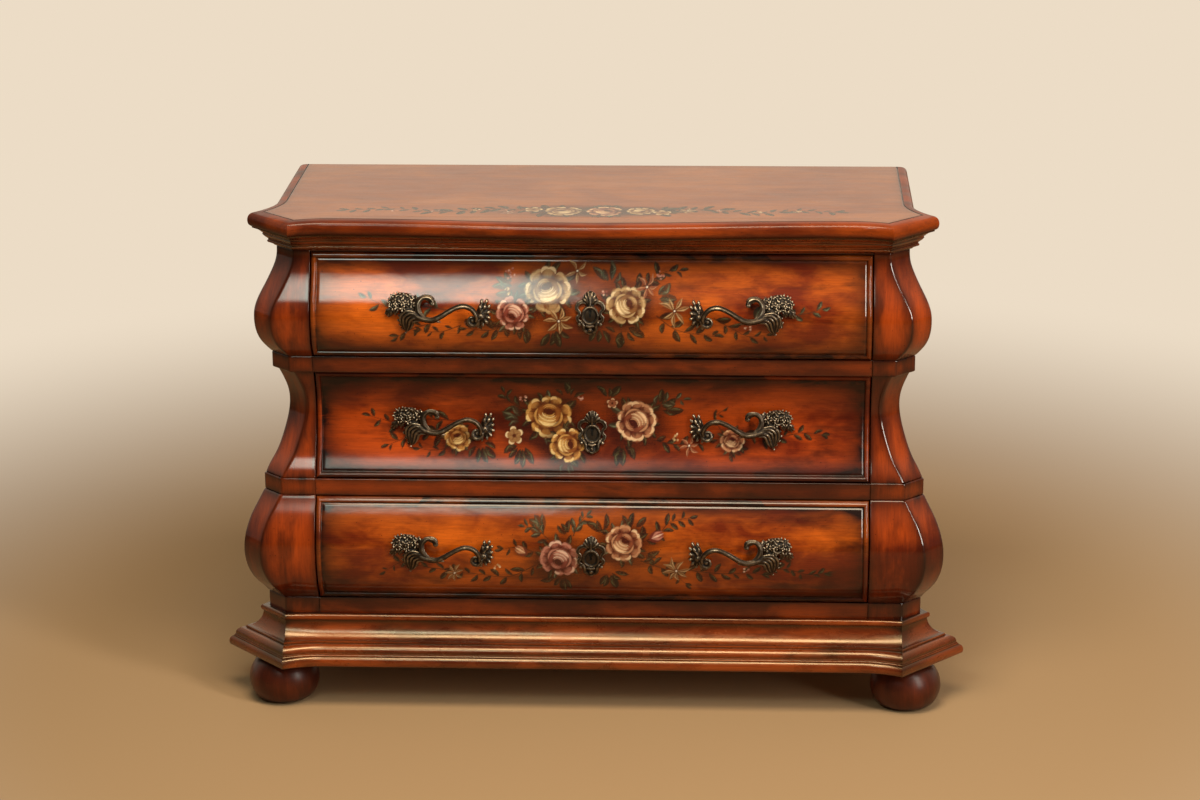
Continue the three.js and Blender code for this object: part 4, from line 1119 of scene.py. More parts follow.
LOWER_SPRAY = [
    (Painting.dab, (0, -6), (190, 60), 0, GLAZE, 0.5, 1.2),
    (sprig, [(-95, -18), (-140, -40), (-190, -36), (-235, -30)], 19, 8),
    (sprig, [(-235, -30), (-285, -22), (-320, -14), (-350, -32)], 16, 7),
    (sprig, [(-95, 6), (-125, 14), (-150, 10)], 18, 4),
    (fan, (-78, 34), 2.2, 1.2, 4, 22, 0.65, 10, SAGE_LEAF),
    (sprig, [(-70, 26), (-92, 44), (-112, 48)], 15, 4, SAGE_LEAF),
    (sprig, [(-30, 34), (-22, 52), (-8, 66)], 15, 5, SAGE_LEAF),
    (fan, (-40, 32), 1.9, 0.9, 3, 24, 0.85, 8),
    (fan, (-48, -32), -1.8, 1.6, 6, 23, 0.85, 14),
    (fan, (30, -26), -1.2, 1.6, 6, 23, 0.85, 12),
    (fan, (20, 36), 2.0, 1.0, 3, 24, 0.8, 6),
    (fan, (66, 40), 1.4, 1.2, 4, 20, 0.8, 14),
    (sprig, [(84, 24), (112, 36), (132, 56), (166, 64)], 18, 8),
    (fan, (90, 4), -0.3, 1.2, 4, 22, 0.8, 6),
    (sprig, [(84, -8), (118, -20), (140, -30), (160, -52)], 18, 6),
    (sprig, [(160, -24), (220, -30), (262, -28), (290, -30)], 18, 8),
    (sprig, [(290, -22), (330, -20), (364, -30), (398, -26)], 15, 8),
    (sprig, [(296, -22), (312, -8), (330, 0)], 13, 4),
    (rose, (-54, -6), 31, -2.0, PINK, 0.98),
    (rose, (54, 22), 30, 1.0, BLUSH, 0.95),
    (star, (-232, -34), 18, 7, 0.3, CREAM, True),
    (star, (144, -26), 24, 8, 0.2, CREAM, True),
    (bud, (110, 34), 12, 0.4, PINK),
    (bud, (-118, 8), 11, 2.6, BLUSH),
    (dots, (-160, -22), 6, 6, CREAM),
    (dots, (262, -22), 5, 6, PINK),
]
GARLAND_SPRAY = [
    (Painting.dab, (0, 0), (250, 36), 0, GLAZE, 0.3, 1.0),
    (sprig, [(-80, 0), (-160, 14), (-250, -8), (-330, 10), (-410, 0)], 24, 20),
    (sprig, [(120, 0), (190, 14), (270, -8), (340, 10), (410, 0)], 24, 18),
    (row_of_dots, (-330, -262, -196, -140, 160, 214, 276, 344), 12),
    (fan, (-70, 2), 3.1, 2.2, 6, 28, 0.85, 14),
    (fan, (112, 2), 0.1, 2.2, 6, 28, 0.85, 10),
    (fan, (20, 8), 1.5, 2.8, 8, 26, 0.75, 12, SAGE_LEAF),
    (fan, (20, -8), -1.5, 2.8, 8, 24, 0.8, 12),
    (rose, (-48, 0), 29, 2.0, CREAM, 0.95),
    (rose, (22, 0), 30, 0.8, BLUSH, 0.95),
    (rose, (82, 3), 22, -0.6, CREAM, 0.95),
    (blossom, (118, -8), 15, 0.4, CREAM),
    (blossom, (-98, 10), 15, 1.4, CREAM),
    (star, (160, 6), 18, 6, 0.4, CREAM),
    (star, (-140, -6), 18, 6, 0.9, BLUSH),
]

# Drawer fronts: a swelling face inside a raised lip and a narrow quirk. In millimetres from the edge:
# the lip's height at each place, and the places where a front has points
LIP = [[0, -1.2], [0.8, 0.3], [2.0, 1.5], [3.6, 2.3], [5.0, 2.5], [6.4, 2.1], [7.6, 1.1], [8.4, 0.1],
       [9.2, -0.8], [10.0, -1.0], [10.7, -0.78], [12.1, -0.2], [13.0, 0.0]]
LIP_PLACES = [0, 0.4, 0.8, 1.4, 2.0, 2.8, 3.6, 4.3, 5.0, 5.7, 6.4, 7.0, 7.6, 8.0, 8.4, 8.8, 9.2, 9.6, 10.0,
              10.4, 10.7, 11.2, 11.7, 12.1, 12.6, 13.0]
LIP_SHARES = [p / LIP[-1][0] for p in LIP_PLACES]
LIP_WIDTH = LIP[-1][0] * MM
FACE_PLACES = [16, 20, 28]
lip_curve = smooth_curve(LIP)
LIP_FACE = 8 * MM
QUIRK_PLACE, QUIRK_SPREAD = 9.6 * MM, 1.5 * MM
# The borders darken: dark finish and painted shade under the rails
BORDER_AGE_AND_SHADE = 0.85
END_AGE, END_FADE = 0.8, 32 * MM
REAR_AGE, REAR_FACING = 0.4, 0.5
FRONT_HALF = OPENING - REVEAL
COLUMN_STEP = 7 * MM
PAINTED_HALF, BOUQUET_HALF = 402 * MM, 190 * MM
BOUQUET_STEP, SPRIG_STEP = 1.2 * MM, 1.7 * MM
ROW_STEP = 1.25 * MM
# Each drawer's profile and opening, what is painted on it, and how dark it is: all over (painted shade, most
# on the middle drawer), along its top and bottom borders (dark finish and painted shade under the rails; how
# far each fades), and on its lip (top and sides, then the bottom, darker with painted shade). Shift sets its
# grain.
# Drops: how far below the middle of the opening its pulls and its escutcheon are.
TIERS = {
    "upper": dict(curve=upper_curve, floor=UPPER_FLOOR, ceiling=UPPER_CEILING, spray=UPPER_SPRAY,
                  wood=painted_drawer, age_and_shade=0.0, fades=(19 * MM, 19 * MM), lip_age_and_shade=(0.7, 0.95), shift=0.0,
                  drops=(5.5 * MM, 4 * MM)),
    "middle": dict(curve=middle_curve, floor=MIDDLE_FLOOR, ceiling=MIDDLE_CEILING, spray=MIDDLE_SPRAY,
                   wood=painted_middle_in_shade, age_and_shade=0.16, fades=(21 * MM, 8 * MM), lip_age_and_shade=(0.45, 0.7), shift=0.7,
                   drops=(6.5 * MM, 13.5 * MM)),
    "lower": dict(curve=lower_curve, floor=LOWER_FLOOR, ceiling=LOWER_CEILING, spray=LOWER_SPRAY,
                  wood=painted_drawer, age_and_shade=0.04, fades=(17 * MM, 21 * MM), lip_age_and_shade=(0.6, 0.95), shift=1.6,
                  drops=(-3.5 * MM, 0.0)),
}


def lip_height(edge):
    return float(lip_curve(edge / MM)) * MM if edge < LIP_WIDTH else 0.0


def drawer_age_and_shade(x, z, bottom, top, tier):
    """Darker in the quirk, along the edges and most of all in the corners: dark finish, with painted shade in
    the quirk, under the rails and on the bottom lip.
    """
    side, level = FRONT_HALF - abs(x), min(z - bottom, top - z)
    edge = min(side, level)
    if edge < LIP_FACE:
        return tier["lip_age_and_shade"][1 if z - bottom < side else 0]
    quirk = math.exp(-((edge - QUIRK_PLACE) / QUIRK_SPREAD) ** 2)
    fade = tier["fades"][0 if top - z < z - bottom else 1]
    border = faded(max(0, level - LIP_WIDTH), fade, BORDER_AGE_AND_SHADE)
    ends = faded(max(0, side - LIP_WIDTH), END_FADE, END_AGE)
    return max(quirk, 1 - (1 - border) * (1 - ends))


def stepped(start, end, step):
    count = max(1, round(abs(end - start) / step))
    return [start + (end - start) * i / count for i in range(1, count + 1)]


def drawer_columns():
    """Places across a front: close together at its lip and where it is painted."""
    half = [FRONT_HALF - p * MM for p in LIP_PLACES + FACE_PLACES]
    half += stepped(half[-1], PAINTED_HALF, COLUMN_STEP) + stepped(PAINTED_HALF, BOUQUET_HALF, SPRIG_STEP)
    half += stepped(BOUQUET_HALF, 0, BOUQUET_STEP)
    return [-x for x in half[:-1]] + half[::-1]


def painted(columns, rows, middle, spray):
    """What a spray lays on a grid of places, with two bare places after each row."""
    art = Painting([x / MM for x in columns], [(row - middle) / MM for row in rows])
    return composed(art, spray).laid(2)


def add_drawer_front(name, tier):
    bottom, top = tier["floor"] + REVEAL, tier["ceiling"] - REVEAL
    columns = drawer_columns()
    rows = spaced(bottom, top, ROW_STEP, LIP_SHARES, LIP_WIDTH)
    rings, ages_and_shades, grains = [], [], []
    for z in rows:
        face = FACE_Y - float(tier["curve"](z))
        ring = [(x, face - lip_height(min(FRONT_HALF - abs(x), z - bottom, top - z)), z) for x in columns]
        rings.append(ring + [(x, face + FRONT_THICKNESS, z) for x in (FRONT_HALF, -FRONT_HALF)])
        face_ages = [min(1.0, tier["age_and_shade"] + drawer_age_and_shade(x, z, bottom, top, tier)) for x in columns]
        ages_and_shades.append(face_ages + [REAR_AGE] * 2)
        grains.append([(x, z, tier["shift"]) for x, _, _ in rings[-1]])
    paint = painted(columns, rows, (tier["floor"] + tier["ceiling"]) / 2, tier["spray"])
    piece = add_skin(f"{name}_drawer_face", rings, ages_and_shades, grains, [tier["wood"], inner_across],
                     f"{name}_drawer", [f"{name}_drawer_front"], "drawer_wood", paint)
    for polygon in piece.data.polygons:
        if polygon.normal.y > REAR_FACING:
            polygon.material_index = 1


for name, tier in TIERS.items():
    add_drawer_front(name, tier)

# The garland along the front of the top, on a skin of its own
GARLAND_FRONT, GARLAND_MIDDLE, GARLAND_BACK = 16 * MM, 58 * MM, 100 * MM
GARLAND_HALF = 430 * MM
GARLAND_STEP = 1.4 * MM
GARLAND_RISE, GARLAND_DEPTH = 0.08 * MM, 0.5 * MM


def add_garland():
    columns = [-GARLAND_HALF] + stepped(-GARLAND_HALF, GARLAND_HALF, GARLAND_STEP)
    rows = [GARLAND_FRONT] + stepped(GARLAND_FRONT, GARLAND_BACK, GARLAND_STEP)
    levels = [(x, TOP_Z + GARLAND_RISE) for x in columns]
    levels += [(x, TOP_Z - GARLAND_DEPTH) for x in (GARLAND_HALF, -GARLAND_HALF)]
    rings = [[(x, FACE_Y + y, z) for x, z in levels] for y in rows]
    ages_and_shades = np.zeros((len(rows), len(levels)))
    paint = painted(columns, rows, GARLAND_MIDDLE, GARLAND_SPRAY)
    add_skin("top_garland", rings, ages_and_shades, rings, [painted_top], "case", [], "case_wood", paint)


add_garland()

# Castings: modelled flat in millimetres as (along, up, off the face), fused, then laid on a drawer's face
BAR_STEP = 1.5


class Casting:
    """Closed forms that overlap, to be fused to one."""

    def __init__(self):
        self.points, self.faces = [], []

    def add(self, points, faces):
        first = len(self.points)
        self.points += [tuple(p) for p in points]
        self.faces += [tuple(first + i for i in f) for f in faces]

    def ball(self, centre, radii, turn=0.0):
        shape = bmesh.new()
        bmesh.ops.create_icosphere(shape, subdivisions=2, radius=1)
        points = np.array([v.co for v in shape.verts]) * radii
        faces = [[v.index for v in f.verts] for f in shape.faces]
        shape.free()
        self.add(points @ np.array(Matrix.Rotation(-turn, 3, "Z")) + centre, faces)

    def tube(self, points, radii, sides=10):
        """A bar along a smooth line, with its radius given at each point."""
        line, places = smooth_line(points, BAR_STEP)
        turns = np.arange(sides)[:, None] * 2 * math.pi / sides
        rings = []
        for i, radius in enumerate(np.interp(places, range(len(radii)), radii)):
            ahead = unit(line[min(i + 1, len(line) - 1)] - line[max(i - 1, 0)])
            out = unit(np.array([0, 0, 1.0]) - ahead * ahead[2])
            rings.append(line[i] + radius * (np.cos(turns) * np.cross(ahead, out) + np.sin(turns) * out))
        self.add(np.array(rings).reshape(-1, 3), ring_faces(len(rings), sides))

    def reeded(self, points, radii, reed_offset, reed_share, core_share, core_lift):
        """A bar with a reed along each side."""
        points = np.array(points, float)
        reeds = (-reed_offset, reed_share, 0), (reed_offset, reed_share, 0), (0, core_share, core_lift)
        for offset, share, lift in reeds:
            moved = []
            for i, (point, radius) in enumerate(zip(points, radii)):
                ahead = points[min(i + 1, len(points) - 1)] - points[max(i - 1, 0)]
                across = unit(np.array([-ahead[1], ahead[0]]))
                moved.append(point + (*across * offset * radius, lift))
            self.tube(moved, [r * share for r in radii])

    def leaf(self, base, tip, spread, ribs, thick, thin, arch=0.0):
        """Ribs that fan out from the base of a leaf and droop at their tips."""
        base, tip = np.array(base, float), np.array(tip, float)
        for k in range(ribs):
            t = 2 * k / (ribs - 1) - 1
            angle = math.radians(spread) * t
            reach = (tip - base) * (1 - 0.28 * t * t)
            end = base + (math.cos(angle) * reach[0] - math.sin(angle) * reach[1],
                          math.sin(angle) * reach[0] + math.cos(angle) * reach[1], reach[2])
            rise = np.array([0, 0, arch])
            line = [base, (base + end) / 2 + rise, base + (end - base) * 0.85 + 0.4 * rise, end]
            self.tube(line, [thin, thick, 0.95 * thick, 0.6 * thin], 8)

    def blossom(self, centre, size, turn):
        x, y, w = centre
        petal = (0.56 * size, 0.4 * size, 0.5 * size)
        for k in range(5):
            angle = turn + k * 2 * math.pi / 5
            lift = 0.25 * size * (-1) ** k
            self.ball((*towards((x, y), angle, 0.86 * size), w + lift), petal, angle)
        self.ball((x, y, w + 0.3 * size), (0.32 * size,) * 3)


def fused(casting, voxel):
    """One skin over everything in a casting."""
    mesh = bpy.data.meshes.new("fusing")
    mesh.from_pydata(casting.points, [], casting.faces)
    lump = add_object("fusing", mesh)
    remesh = lump.modifiers.new("fuse", "REMESH")
    remesh.mode = "VOXEL"
    remesh.voxel_size = voxel
    shown = lump.evaluated_get(bpy.context.evaluated_depsgraph_get())
    result = shown.to_mesh()
    points = np.empty(len(result.vertices) * 3)
    result.vertices.foreach_get("co", points)
    faces = [tuple(p.vertices) for p in result.polygons]
    shown.to_mesh_clear()
    bpy.data.objects.remove(lump)
    bpy.data.meshes.remove(mesh)
    return points.reshape(-1, 3), faces


def neighbour_mean(points, edges):
    total, count = np.zeros_like(points), np.zeros(len(points))
    for a, b in ((0, 1), (1, 0)):
        np.add.at(total, edges[:, a], points[edges[:, b]])
        np.add.at(count, edges[:, a], 1)
    return total / count[:, None]


EASING = 0.35
SURROUNDINGS = 6
PROUD_SPAN = 0.9


def eased(points, faces):
    """The points eased once, and how far each stands proud: 1 on ridges, 0 in hollows."""
    corners = np.array([f[:4] for f in faces])
    sides = np.sort(np.concatenate([corners[:, [k, (k + 1) % 4]] for k in range(4)]), axis=1)
    edges = np.unique(sides, axis=0)
    points = points + (neighbour_mean(points, edges) - points) * EASING
    a, b, c, d = (points[corners[:, k]] for k in range(4))
    normals = np.cross(c - a, d - b)
    out = np.zeros_like(points)
    for k in range(4):
        np.add.at(out, corners[:, k], normals)
    out /= np.linalg.norm(out, axis=1)[:, None] + 1e-12
    around = points
    for _ in range(SURROUNDINGS):
        around = neighbour_mean(around, edges)
    return points, np.clip(0.5 + np.einsum("ij,ij->i", points - around, out) / PROUD_SPAN, 0, 1)


# The pull: a reeded S bar that springs from a ribbed foot under a bunch of blossoms and curls to a rosette
BAR = [(-50, 4, 11), (-40, 0, 13.5), (-30, -4, 16), (-19, -6.5, 18.5), (-7, -6, 20.5), (5, -0.5, 21.5),
       (17, 7, 22), (29, 13, 22), (41, 16, 21.5), (52, 13.5, 20), (60, 7, 18), (64.5, -2, 15.5),
       (64, -10, 13)]
BAR_RADII = [3.4, 3.9, 4.4, 4.6, 4.4, 4.1, 3.8, 3.7, 3.8, 3.9, 3.8, 3.5, 2.9]
CURL = [(-22, -4, 17), (-29, 2, 16), (-33, 10, 15.5), (-33, 19, 15), (-27.5, 26, 15), (-19.5, 28, 14.5),
        (-12, 25.5, 14), (-9, 20.5, 13.5)]
CURL_RADII = [3.3, 4.2, 4.4, 4.1, 3.8, 3.7, 4.1, 3.4]
BLOSSOMS = [(-76, 27, 8.5), (-66.5, 29.5, 10), (-57, 28.5, 11), (-48, 27, 11), (-40.5, 25, 11),
            (-81, 19, 7.5), (-71.5, 20, 12), (-62, 20, 13.5), (-52.5, 18.5, 14), (-43.5, 16.5, 13),
            (-78, 11, 9), (-68, 11.5, 13), (-59, 11, 14.5)]
BLOSSOM_SIZE, BLOSSOM_TURN = 4.4, 0.9
# The foot's ribs run between an outer and an inner line. Lobes: (along, up, off the face, size)
FOOT_OUTER = np.array([(-20, -3, 17), (-36, 4, 15.5), (-51, 6.5, 14.5), (-61, 0, 12), (-63, -10, 9),
                       (-60, -20, 6.5), (-54, -30, 4)])
FOOT_INNER = np.array([(-20, -8, 17), (-30, -8.5, 16.5), (-37, -9, 15.5), (-41, -12.5, 13), (-43, -18, 10),
                       (-47, -25, 7), (-53, -31, 4)])
FOOT_RADII = [1.3, 1.8, 2.2, 2.4, 2.3, 1.9, 1.3]
FOOT_RIB_LIFTS = [0, 0.7, 0, 0.9, 0.2]
FOOT_LOBES = [(-64.5, -3, 8, 2.6), (-66, -11, 6.5, 2.7), (-63.5, -19, 5.5, 2.4), (-59, -26, 4.5, 2.1),
              (-55, -33, 3.5, 2)]
LOBE_SHARES, LOBE_TURN = np.array((1.3, 0.75, 0.9)), -0.5
# The bar's end coils inward: its turn, radius, level and thickness, each at the start and its step
SPIRAL_CENTRE = (57.5, -9.5)
SPIRAL_STEPS = 13
SPIRAL = (0.26, -0.63), (9.6, -0.5), (13, -0.25), (3.4, -0.13)
ROSETTE = (70.0, -1.0)
ROSETTE_LOBES = [(72, 20, 8, 3.6), (80, 20.5, 7, 3.6), (84, 13, 7, 3.4), (77, 12.5, 10, 3.8),
                 (70, 12, 9, 3.2), (83, 3.5, 7, 3.6), (84, -5, 6.5, 3.3), (80, -12, 7, 3.5),
                 (74, -17.5, 6, 3.2), (66, -21, 5, 2.6)]
PETAL_SHARES = np.array((1.25, 0.8, 1))


def add_blossoms(pull):
    for k, place in enumerate(BLOSSOMS):
        pull.blossom(place, BLOSSOM_SIZE, BLOSSOM_TURN * k)


def add_foot_ribs(pull):
    for share, lift in zip(np.linspace(0, 1, len(FOOT_RIB_LIFTS)), FOOT_RIB_LIFTS):
        pull.tube(FOOT_OUTER * (1 - share) + FOOT_INNER * share + (0, 0, lift), FOOT_RADII, 8)
    for x, y, w, size in FOOT_LOBES:
        pull.ball((x, y, w), LOBE_SHARES * size, LOBE_TURN)


def add_spiral(pull):
    turns, radii, levels, thick = ([start + step * i for i in range(SPIRAL_STEPS)] for start, step in SPIRAL)
    line = [(*towards(SPIRAL_CENTRE, *place), level) for *place, level in zip(turns, radii, levels)]
    pull.tube(line, thick)


def add_rosette(pull):
    for x, y, w, size in ROSETTE_LOBES:
        pull.ball((x, y, w), PETAL_SHARES * size, math.atan2(y - ROSETTE[1], x - ROSETTE[0]))
        pull.tube([(ROSETTE[0] + 1, 0.3 * y, w + 1), (x, y, w + size / 2)], [1.6, 1.2], 8)


PULL_FORMS = [
    (Casting.reeded, BAR, BAR_RADII, 0.7, 0.42, 0.78, 1.1),
    (Casting.reeded, CURL, CURL_RADII, 0.62, 0.5, 0.6, 0.9),
    (Casting.ball, (-10, 18.5, 12.5), (5, 4.6, 4.2)),
    (Casting.leaf, (-24, 27, 15), (-6, 24, 11), 16, 3, 2.6, 1.6),
    (Casting.leaf, (-32, 20, 14), (-38, 29, 11), 30, 3, 2, 1.3, 1),
    (Casting.leaf, (-30, -5, 16), (5, -13, 8), 7, 3, 2.2, 0.8, 2),
    (Casting.ball, (-62, 20, 5), (20, 12.5, 7), 0.14),
    (Casting.ball, (-48, 8, 6), (12, 13, 7)),
    (add_blossoms,),
    (Casting.leaf, (-77, 10, 8), (-88, -4, 2.5), 24, 4, 2.4, 1.3, 1.5),
    (Casting.leaf, (-71, 8, 9), (-72, -3, 4), 26, 3, 2, 1.2, 1.5),
    (add_foot_ribs,),
    (Casting.ball, (-52, -9, 3), (9, 14, 4.5), 0.2),
    (add_spiral,),
    (Casting.ball, (*SPIRAL_CENTRE, 10), (4.4, 4.4, 4.2)),
    (Casting.ball, (71, -3, 9), (6, 6, 5)),
    (Casting.ball, (74, 0, 4), (11, 19, 6)),
    (add_rosette,),
]

# The escutcheon: a ringed disc between scrolls, with a palmette above and a cup below
CREST = [(-3.6, 33.5), (3.6, 33.5), (-9, 29.5), (9, 29.5), (-12, 23.5), (12, 23.5)]
CREST_ROOT = 18
SCROLL = [(7, 17, 5), (13.5, 18.5, 5), (20.5, 14.5, 4.5), (22, 7.5, 4.2), (18, 3, 4), (17.5, -2, 4),
          (21, -6.5, 4.2), (19.5, -12, 4.2), (14, -14, 4)]
SCROLL_RADII = [2.2, 2.8, 3.1, 2.8, 2.2, 2.3, 2.8, 2.7, 2.2]
CUP = [(14, -14, 4.5), (10.5, -20, 5), (10, -27, 4.5), (5, -32.5, 3.5)]
CUP_RADII = [2, 2.8, 2.8, 2.2]
KNOB, KNOB_RADII = (17.5, -18, 4), (3.2, 3.2, 3)
DISC = (0.0, -3.8)
DISC_RING, DISC_RING_LEVEL, DISC_RING_RADIUS = (12.6, 13.8), 4.2, 2.3
RING_STEPS = 24
KEYHOLE_TOP = (0.0, 3.0)
KEYHOLE_RADIUS = 2.7
KEYHOLE_FOOT = -6.0
KEYHOLE_LEVEL = 0.3


def add_disc_ring(plate):
    turns = [2 * math.pi * i / RING_STEPS for i in range(RING_STEPS + 1)]
    ring = [(DISC[0] + DISC_RING[0] * math.cos(t), DISC[1] + DISC_RING[1] * math.sin(t), DISC_RING_LEVEL)
            for t in turns]
    plate.tube(ring, [DISC_RING_RADIUS] * len(ring))


def add_crest(plate):
    for x, y in CREST:
        bend = (0.66 * x, CREST_ROOT + (y - CREST_ROOT) * 0.6, 6.2)
        plate.tube([(0.3 * x, 17, 5.5), bend, (x, y, 3.8)], [1.7, 2.5, 2.7], 8)


def add_scrolls(plate):
    for side in (-1, 1):
        scroll, knob, cup = ([(side * x, y, w) for x, y, w in line] for line in (SCROLL, [KNOB], CUP))
        plate.reeded(scroll, SCROLL_RADII, 0.5, 0.6, 0.5, 0)
        plate.ball(*knob, KNOB_RADII)
        plate.tube(cup, CUP_RADII)


ESCUTCHEON_FORMS = [
    (Casting.ball, (*DISC, 1.2), (15.5, 17, 2.2)),
    (Casting.ball, (0, 22, 1.2), (11.5, 13, 2)),
    (Casting.ball, (0, -25, 1.2), (10, 11, 2)),
    (add_disc_ring,),
    (add_crest,),
    (Casting.tube, [(0, 13, 5.5), (0, 24, 6.8), (0, 32, 4.5)], [2, 2.6, 2.2]),
    (add_scrolls,),
    (Casting.tube, [(-6.5, -20, 5), (0, -22, 6), (6.5, -20, 5)], [2, 2.4, 2]),
    (Casting.ball, (0, -27.5, 4.5), (4, 4, 4)),
    (Casting.tube, [(-8, -28, 3), (0, -34, 3.5), (8, -28, 3)], [2, 2.6, 2]),
]


def pierced(points, proud):
    """The keyhole sunk into the disc and given the darkest hollow colour: painted shade for the hole."""
    along, up = points[:, 0], points[:, 1]
    eye = np.hypot(along - KEYHOLE_TOP[0], up - KEYHOLE_TOP[1]) < KEYHOLE_RADIUS
    slot = (np.abs(along) < KEYHOLE_RADIUS / 2) & (up > KEYHOLE_FOOT) & (up < KEYHOLE_TOP[1])
    hole = eye | slot
    points[hole, 2] = np.minimum(points[hole, 2], KEYHOLE_LEVEL)
    proud[hole] = 0
    return points, proud


PULL_VOXEL, PLATE_VOXEL = 0.8, 0.7
CAST_SEAT = 0.25
PULL_X = OPENING - 217 * MM
STUD_PLACES = [-63.2, 78.1]
STUD_RADIUS, STUD_SIDES, STUD_START = 2.5 * MM, 12, 2 * MM
NUT_RADIUS, NUT_SIDES, NUT_THICKNESS = 6 * MM, 6, 4 * MM
STUD_PROUD = 0.6


def add_rod(points, faces, centre, radius, front, back, sides):
    faces += ring_faces(2, sides, len(points))
    for y in (front, back):
        for k in range(sides):
            x, z = towards(centre, 2 * math.pi * k / sides, radius)
            points.append((x, y, z))


def lay_casting(name, model, node, drawer, centre, turn):
    """A casting on the face of its drawer, mirrored where turn is -1."""
    flat, faces, proud = model
    curve = TIERS[drawer]["curve"]
    heights = centre[1] + flat[:, 1] * MM
    off_face = np.maximum(flat[:, 2], CAST_SEAT) * MM
    along = centre[0] + turn * flat[:, 0] * MM
    points = np.stack([along, FACE_Y - curve(heights) - off_face, heights], axis=1)
    points, faces, proud = points.tolist(), [tuple(f[::turn]) for f in faces], list(proud)
    if centre[0]:
        face, rear = FACE_Y - float(curve(centre[1])), high(node, Y)
        for place in STUD_PLACES:
            axis = (centre[0] + turn * place * MM, centre[1])
            add_rod(points, faces, axis, STUD_RADIUS, face - STUD_START, rear, STUD_SIDES)
            add_rod(points, faces, axis, NUT_RADIUS, rear - NUT_THICKNESS, rear, NUT_SIDES)
        proud += [STUD_PROUD] * (len(points) - len(proud))
    add_piece(name, points, faces, [bronze], f"{drawer}_drawer", [node], "antique_bronze",
              {"proud": ("FLOAT", proud)})


def add_castings():
    points, faces = fused(composed(Casting(), PULL_FORMS), PULL_VOXEL)
    points, proud = eased(points, faces)
    pull = points, faces, proud
    points, faces = fused(composed(Casting(), ESCUTCHEON_FORMS), PLATE_VOXEL)
    points, proud = pierced(*eased(points, faces))
    plate = points, faces, proud
    for drawer, tier in TIERS.items():
        pull_z, plate_z = ((tier["floor"] + tier["ceiling"]) / 2 - drop for drop in tier["drops"])
        for name, side in SIDES:
            lay_casting(f"{drawer}_cast_pull_{name}", pull, f"{drawer}_{name}_pull", drawer,
                        (side * PULL_X, pull_z), -side)
        lay_casting(f"{drawer}_cast_escutcheon", plate, f"{drawer}_escutcheon", drawer, (0.0, plate_z), 1)


add_castings()

# Bun feet: turned, on the frame's own places. [share of the radius, share of the height]
BUN_SHARES = [[0.55, 0.006], [0.68, 0.03], [0.8, 0.085], [0.9, 0.18], [0.97, 0.31], [1, 0.45], [0.985, 0.58],
            [0.93, 0.71], [0.84, 0.83], [0.74, 0.91], [0.66, 0.95]]
BUN_NECK_SHARES = [(0.66, 1)]
BUN_LEVELS, BUN_TURNS = 34, 64
# Painted shade: each foot darkens where it meets the floor and under the plinth
BUN_FLOOR_SHADE, BUN_FLOOR_SHADE_REACH_SHARE = 0.8, 0.12
BUN_NECK_SHADE, BUN_NECK_SHADE_REACH_SHARE = 0.9, 0.1


def add_foot(node):
    (x0, y0, z0), (x1, y1, z1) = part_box(node)
    centre, radius = ((x0 + x1) / 2, (y0 + y1) / 2), (x1 - x0) / 2
    turns = [2 * math.pi * k / BUN_TURNS for k in range(BUN_TURNS)]
    rings, ages_and_shades, grains = [], [], []
    for r, h in smooth_run(BUN_SHARES, BUN_LEVELS) + BUN_NECK_SHARES:
        z = z0 + h * (z1 - z0)
        rings.append([(*towards(centre, t, radius * r), z) for t in turns])
        age_and_shade = max(faded(h, BUN_FLOOR_SHADE_REACH_SHARE, BUN_FLOOR_SHADE),
                  faded(1 - h, BUN_NECK_SHADE_REACH_SHARE, BUN_NECK_SHADE))
        ages_and_shades.append([age_and_shade] * BUN_TURNS)
        grains.append([(z, *towards((0, 0), t, radius)) for t in turns])
    add_skin(f"{node}_turned", rings, ages_and_shades, grains, [foot_wood], "case", [node], "moulding_wood")


for place in ("front_left", "front_right", "back_left", "back_right"):
    add_foot(f"foot_{place}")

# Materials of the construction that stays as it is, by the start or the end of a node's name
DRESSING = {
    "foot_bolt": steel, "back_panel": back_board, "base_board": inner_across,
    "_side": inner_deep, "_runner": inner_deep, "_cleat": inner_deep,
    "_dust_panel": inner_across, "_bottom": inner_across, "_back": inner_across,
}
for node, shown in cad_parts.items():
    for part, material in DRESSING.items():
        if node.endswith(part) if part[0] == "_" else node.startswith(part):
            shown.data.materials.clear()
            shown.data.materials.append(material)

# A floor that fades to the pale background, seen from any side
FLOOR_COLOUR, PALE_COLOUR = srgb(170, 140, 106), srgb(236, 220, 198)
FLOOR_HALF = 14.0
FLOOR_FADE = 0.9, 2.6


def add_floor():
    mesh = bpy.data.meshes.new("floor")
    corners = [(x * FLOOR_HALF, y * FLOOR_HALF, 0) for x, y in ((-1, -1), (1, -1), (1, 1), (-1, 1))]
    mesh.from_pydata(corners, [], [range(4)])
    material, tree = new_material("floor_paper")
    shader = set_shader(tree, Base_Color=FLOOR_COLOUR, Roughness=0.9, Specular_IOR_Level=0.1)
    place = add_node(tree, "ShaderNodeNewGeometry").outputs["Position"]
    distance = add_node(tree, "ShaderNodeVectorMath", {0: place}, operation="LENGTH").outputs["Value"]
    seen = add_node(tree, "ShaderNodeLightPath").outputs["Is Camera Ray"]
    pale = calculate(tree, "MULTIPLY", ramp_between(tree, distance, *FLOOR_FADE), seen)
    glow = add_node(tree, "ShaderNodeEmission", {"Color": PALE_COLOUR}).outputs[0]
    mixed = add_node(tree, "ShaderNodeMixShader", {0: pale, 1: shader.outputs[0], 2: glow}).outputs[0]
    tree.links.new(mixed, tree.nodes["Material Output"].inputs["Surface"])
    mesh.materials.append(material)
    floor = add_object("floor", mesh)


add_floor()


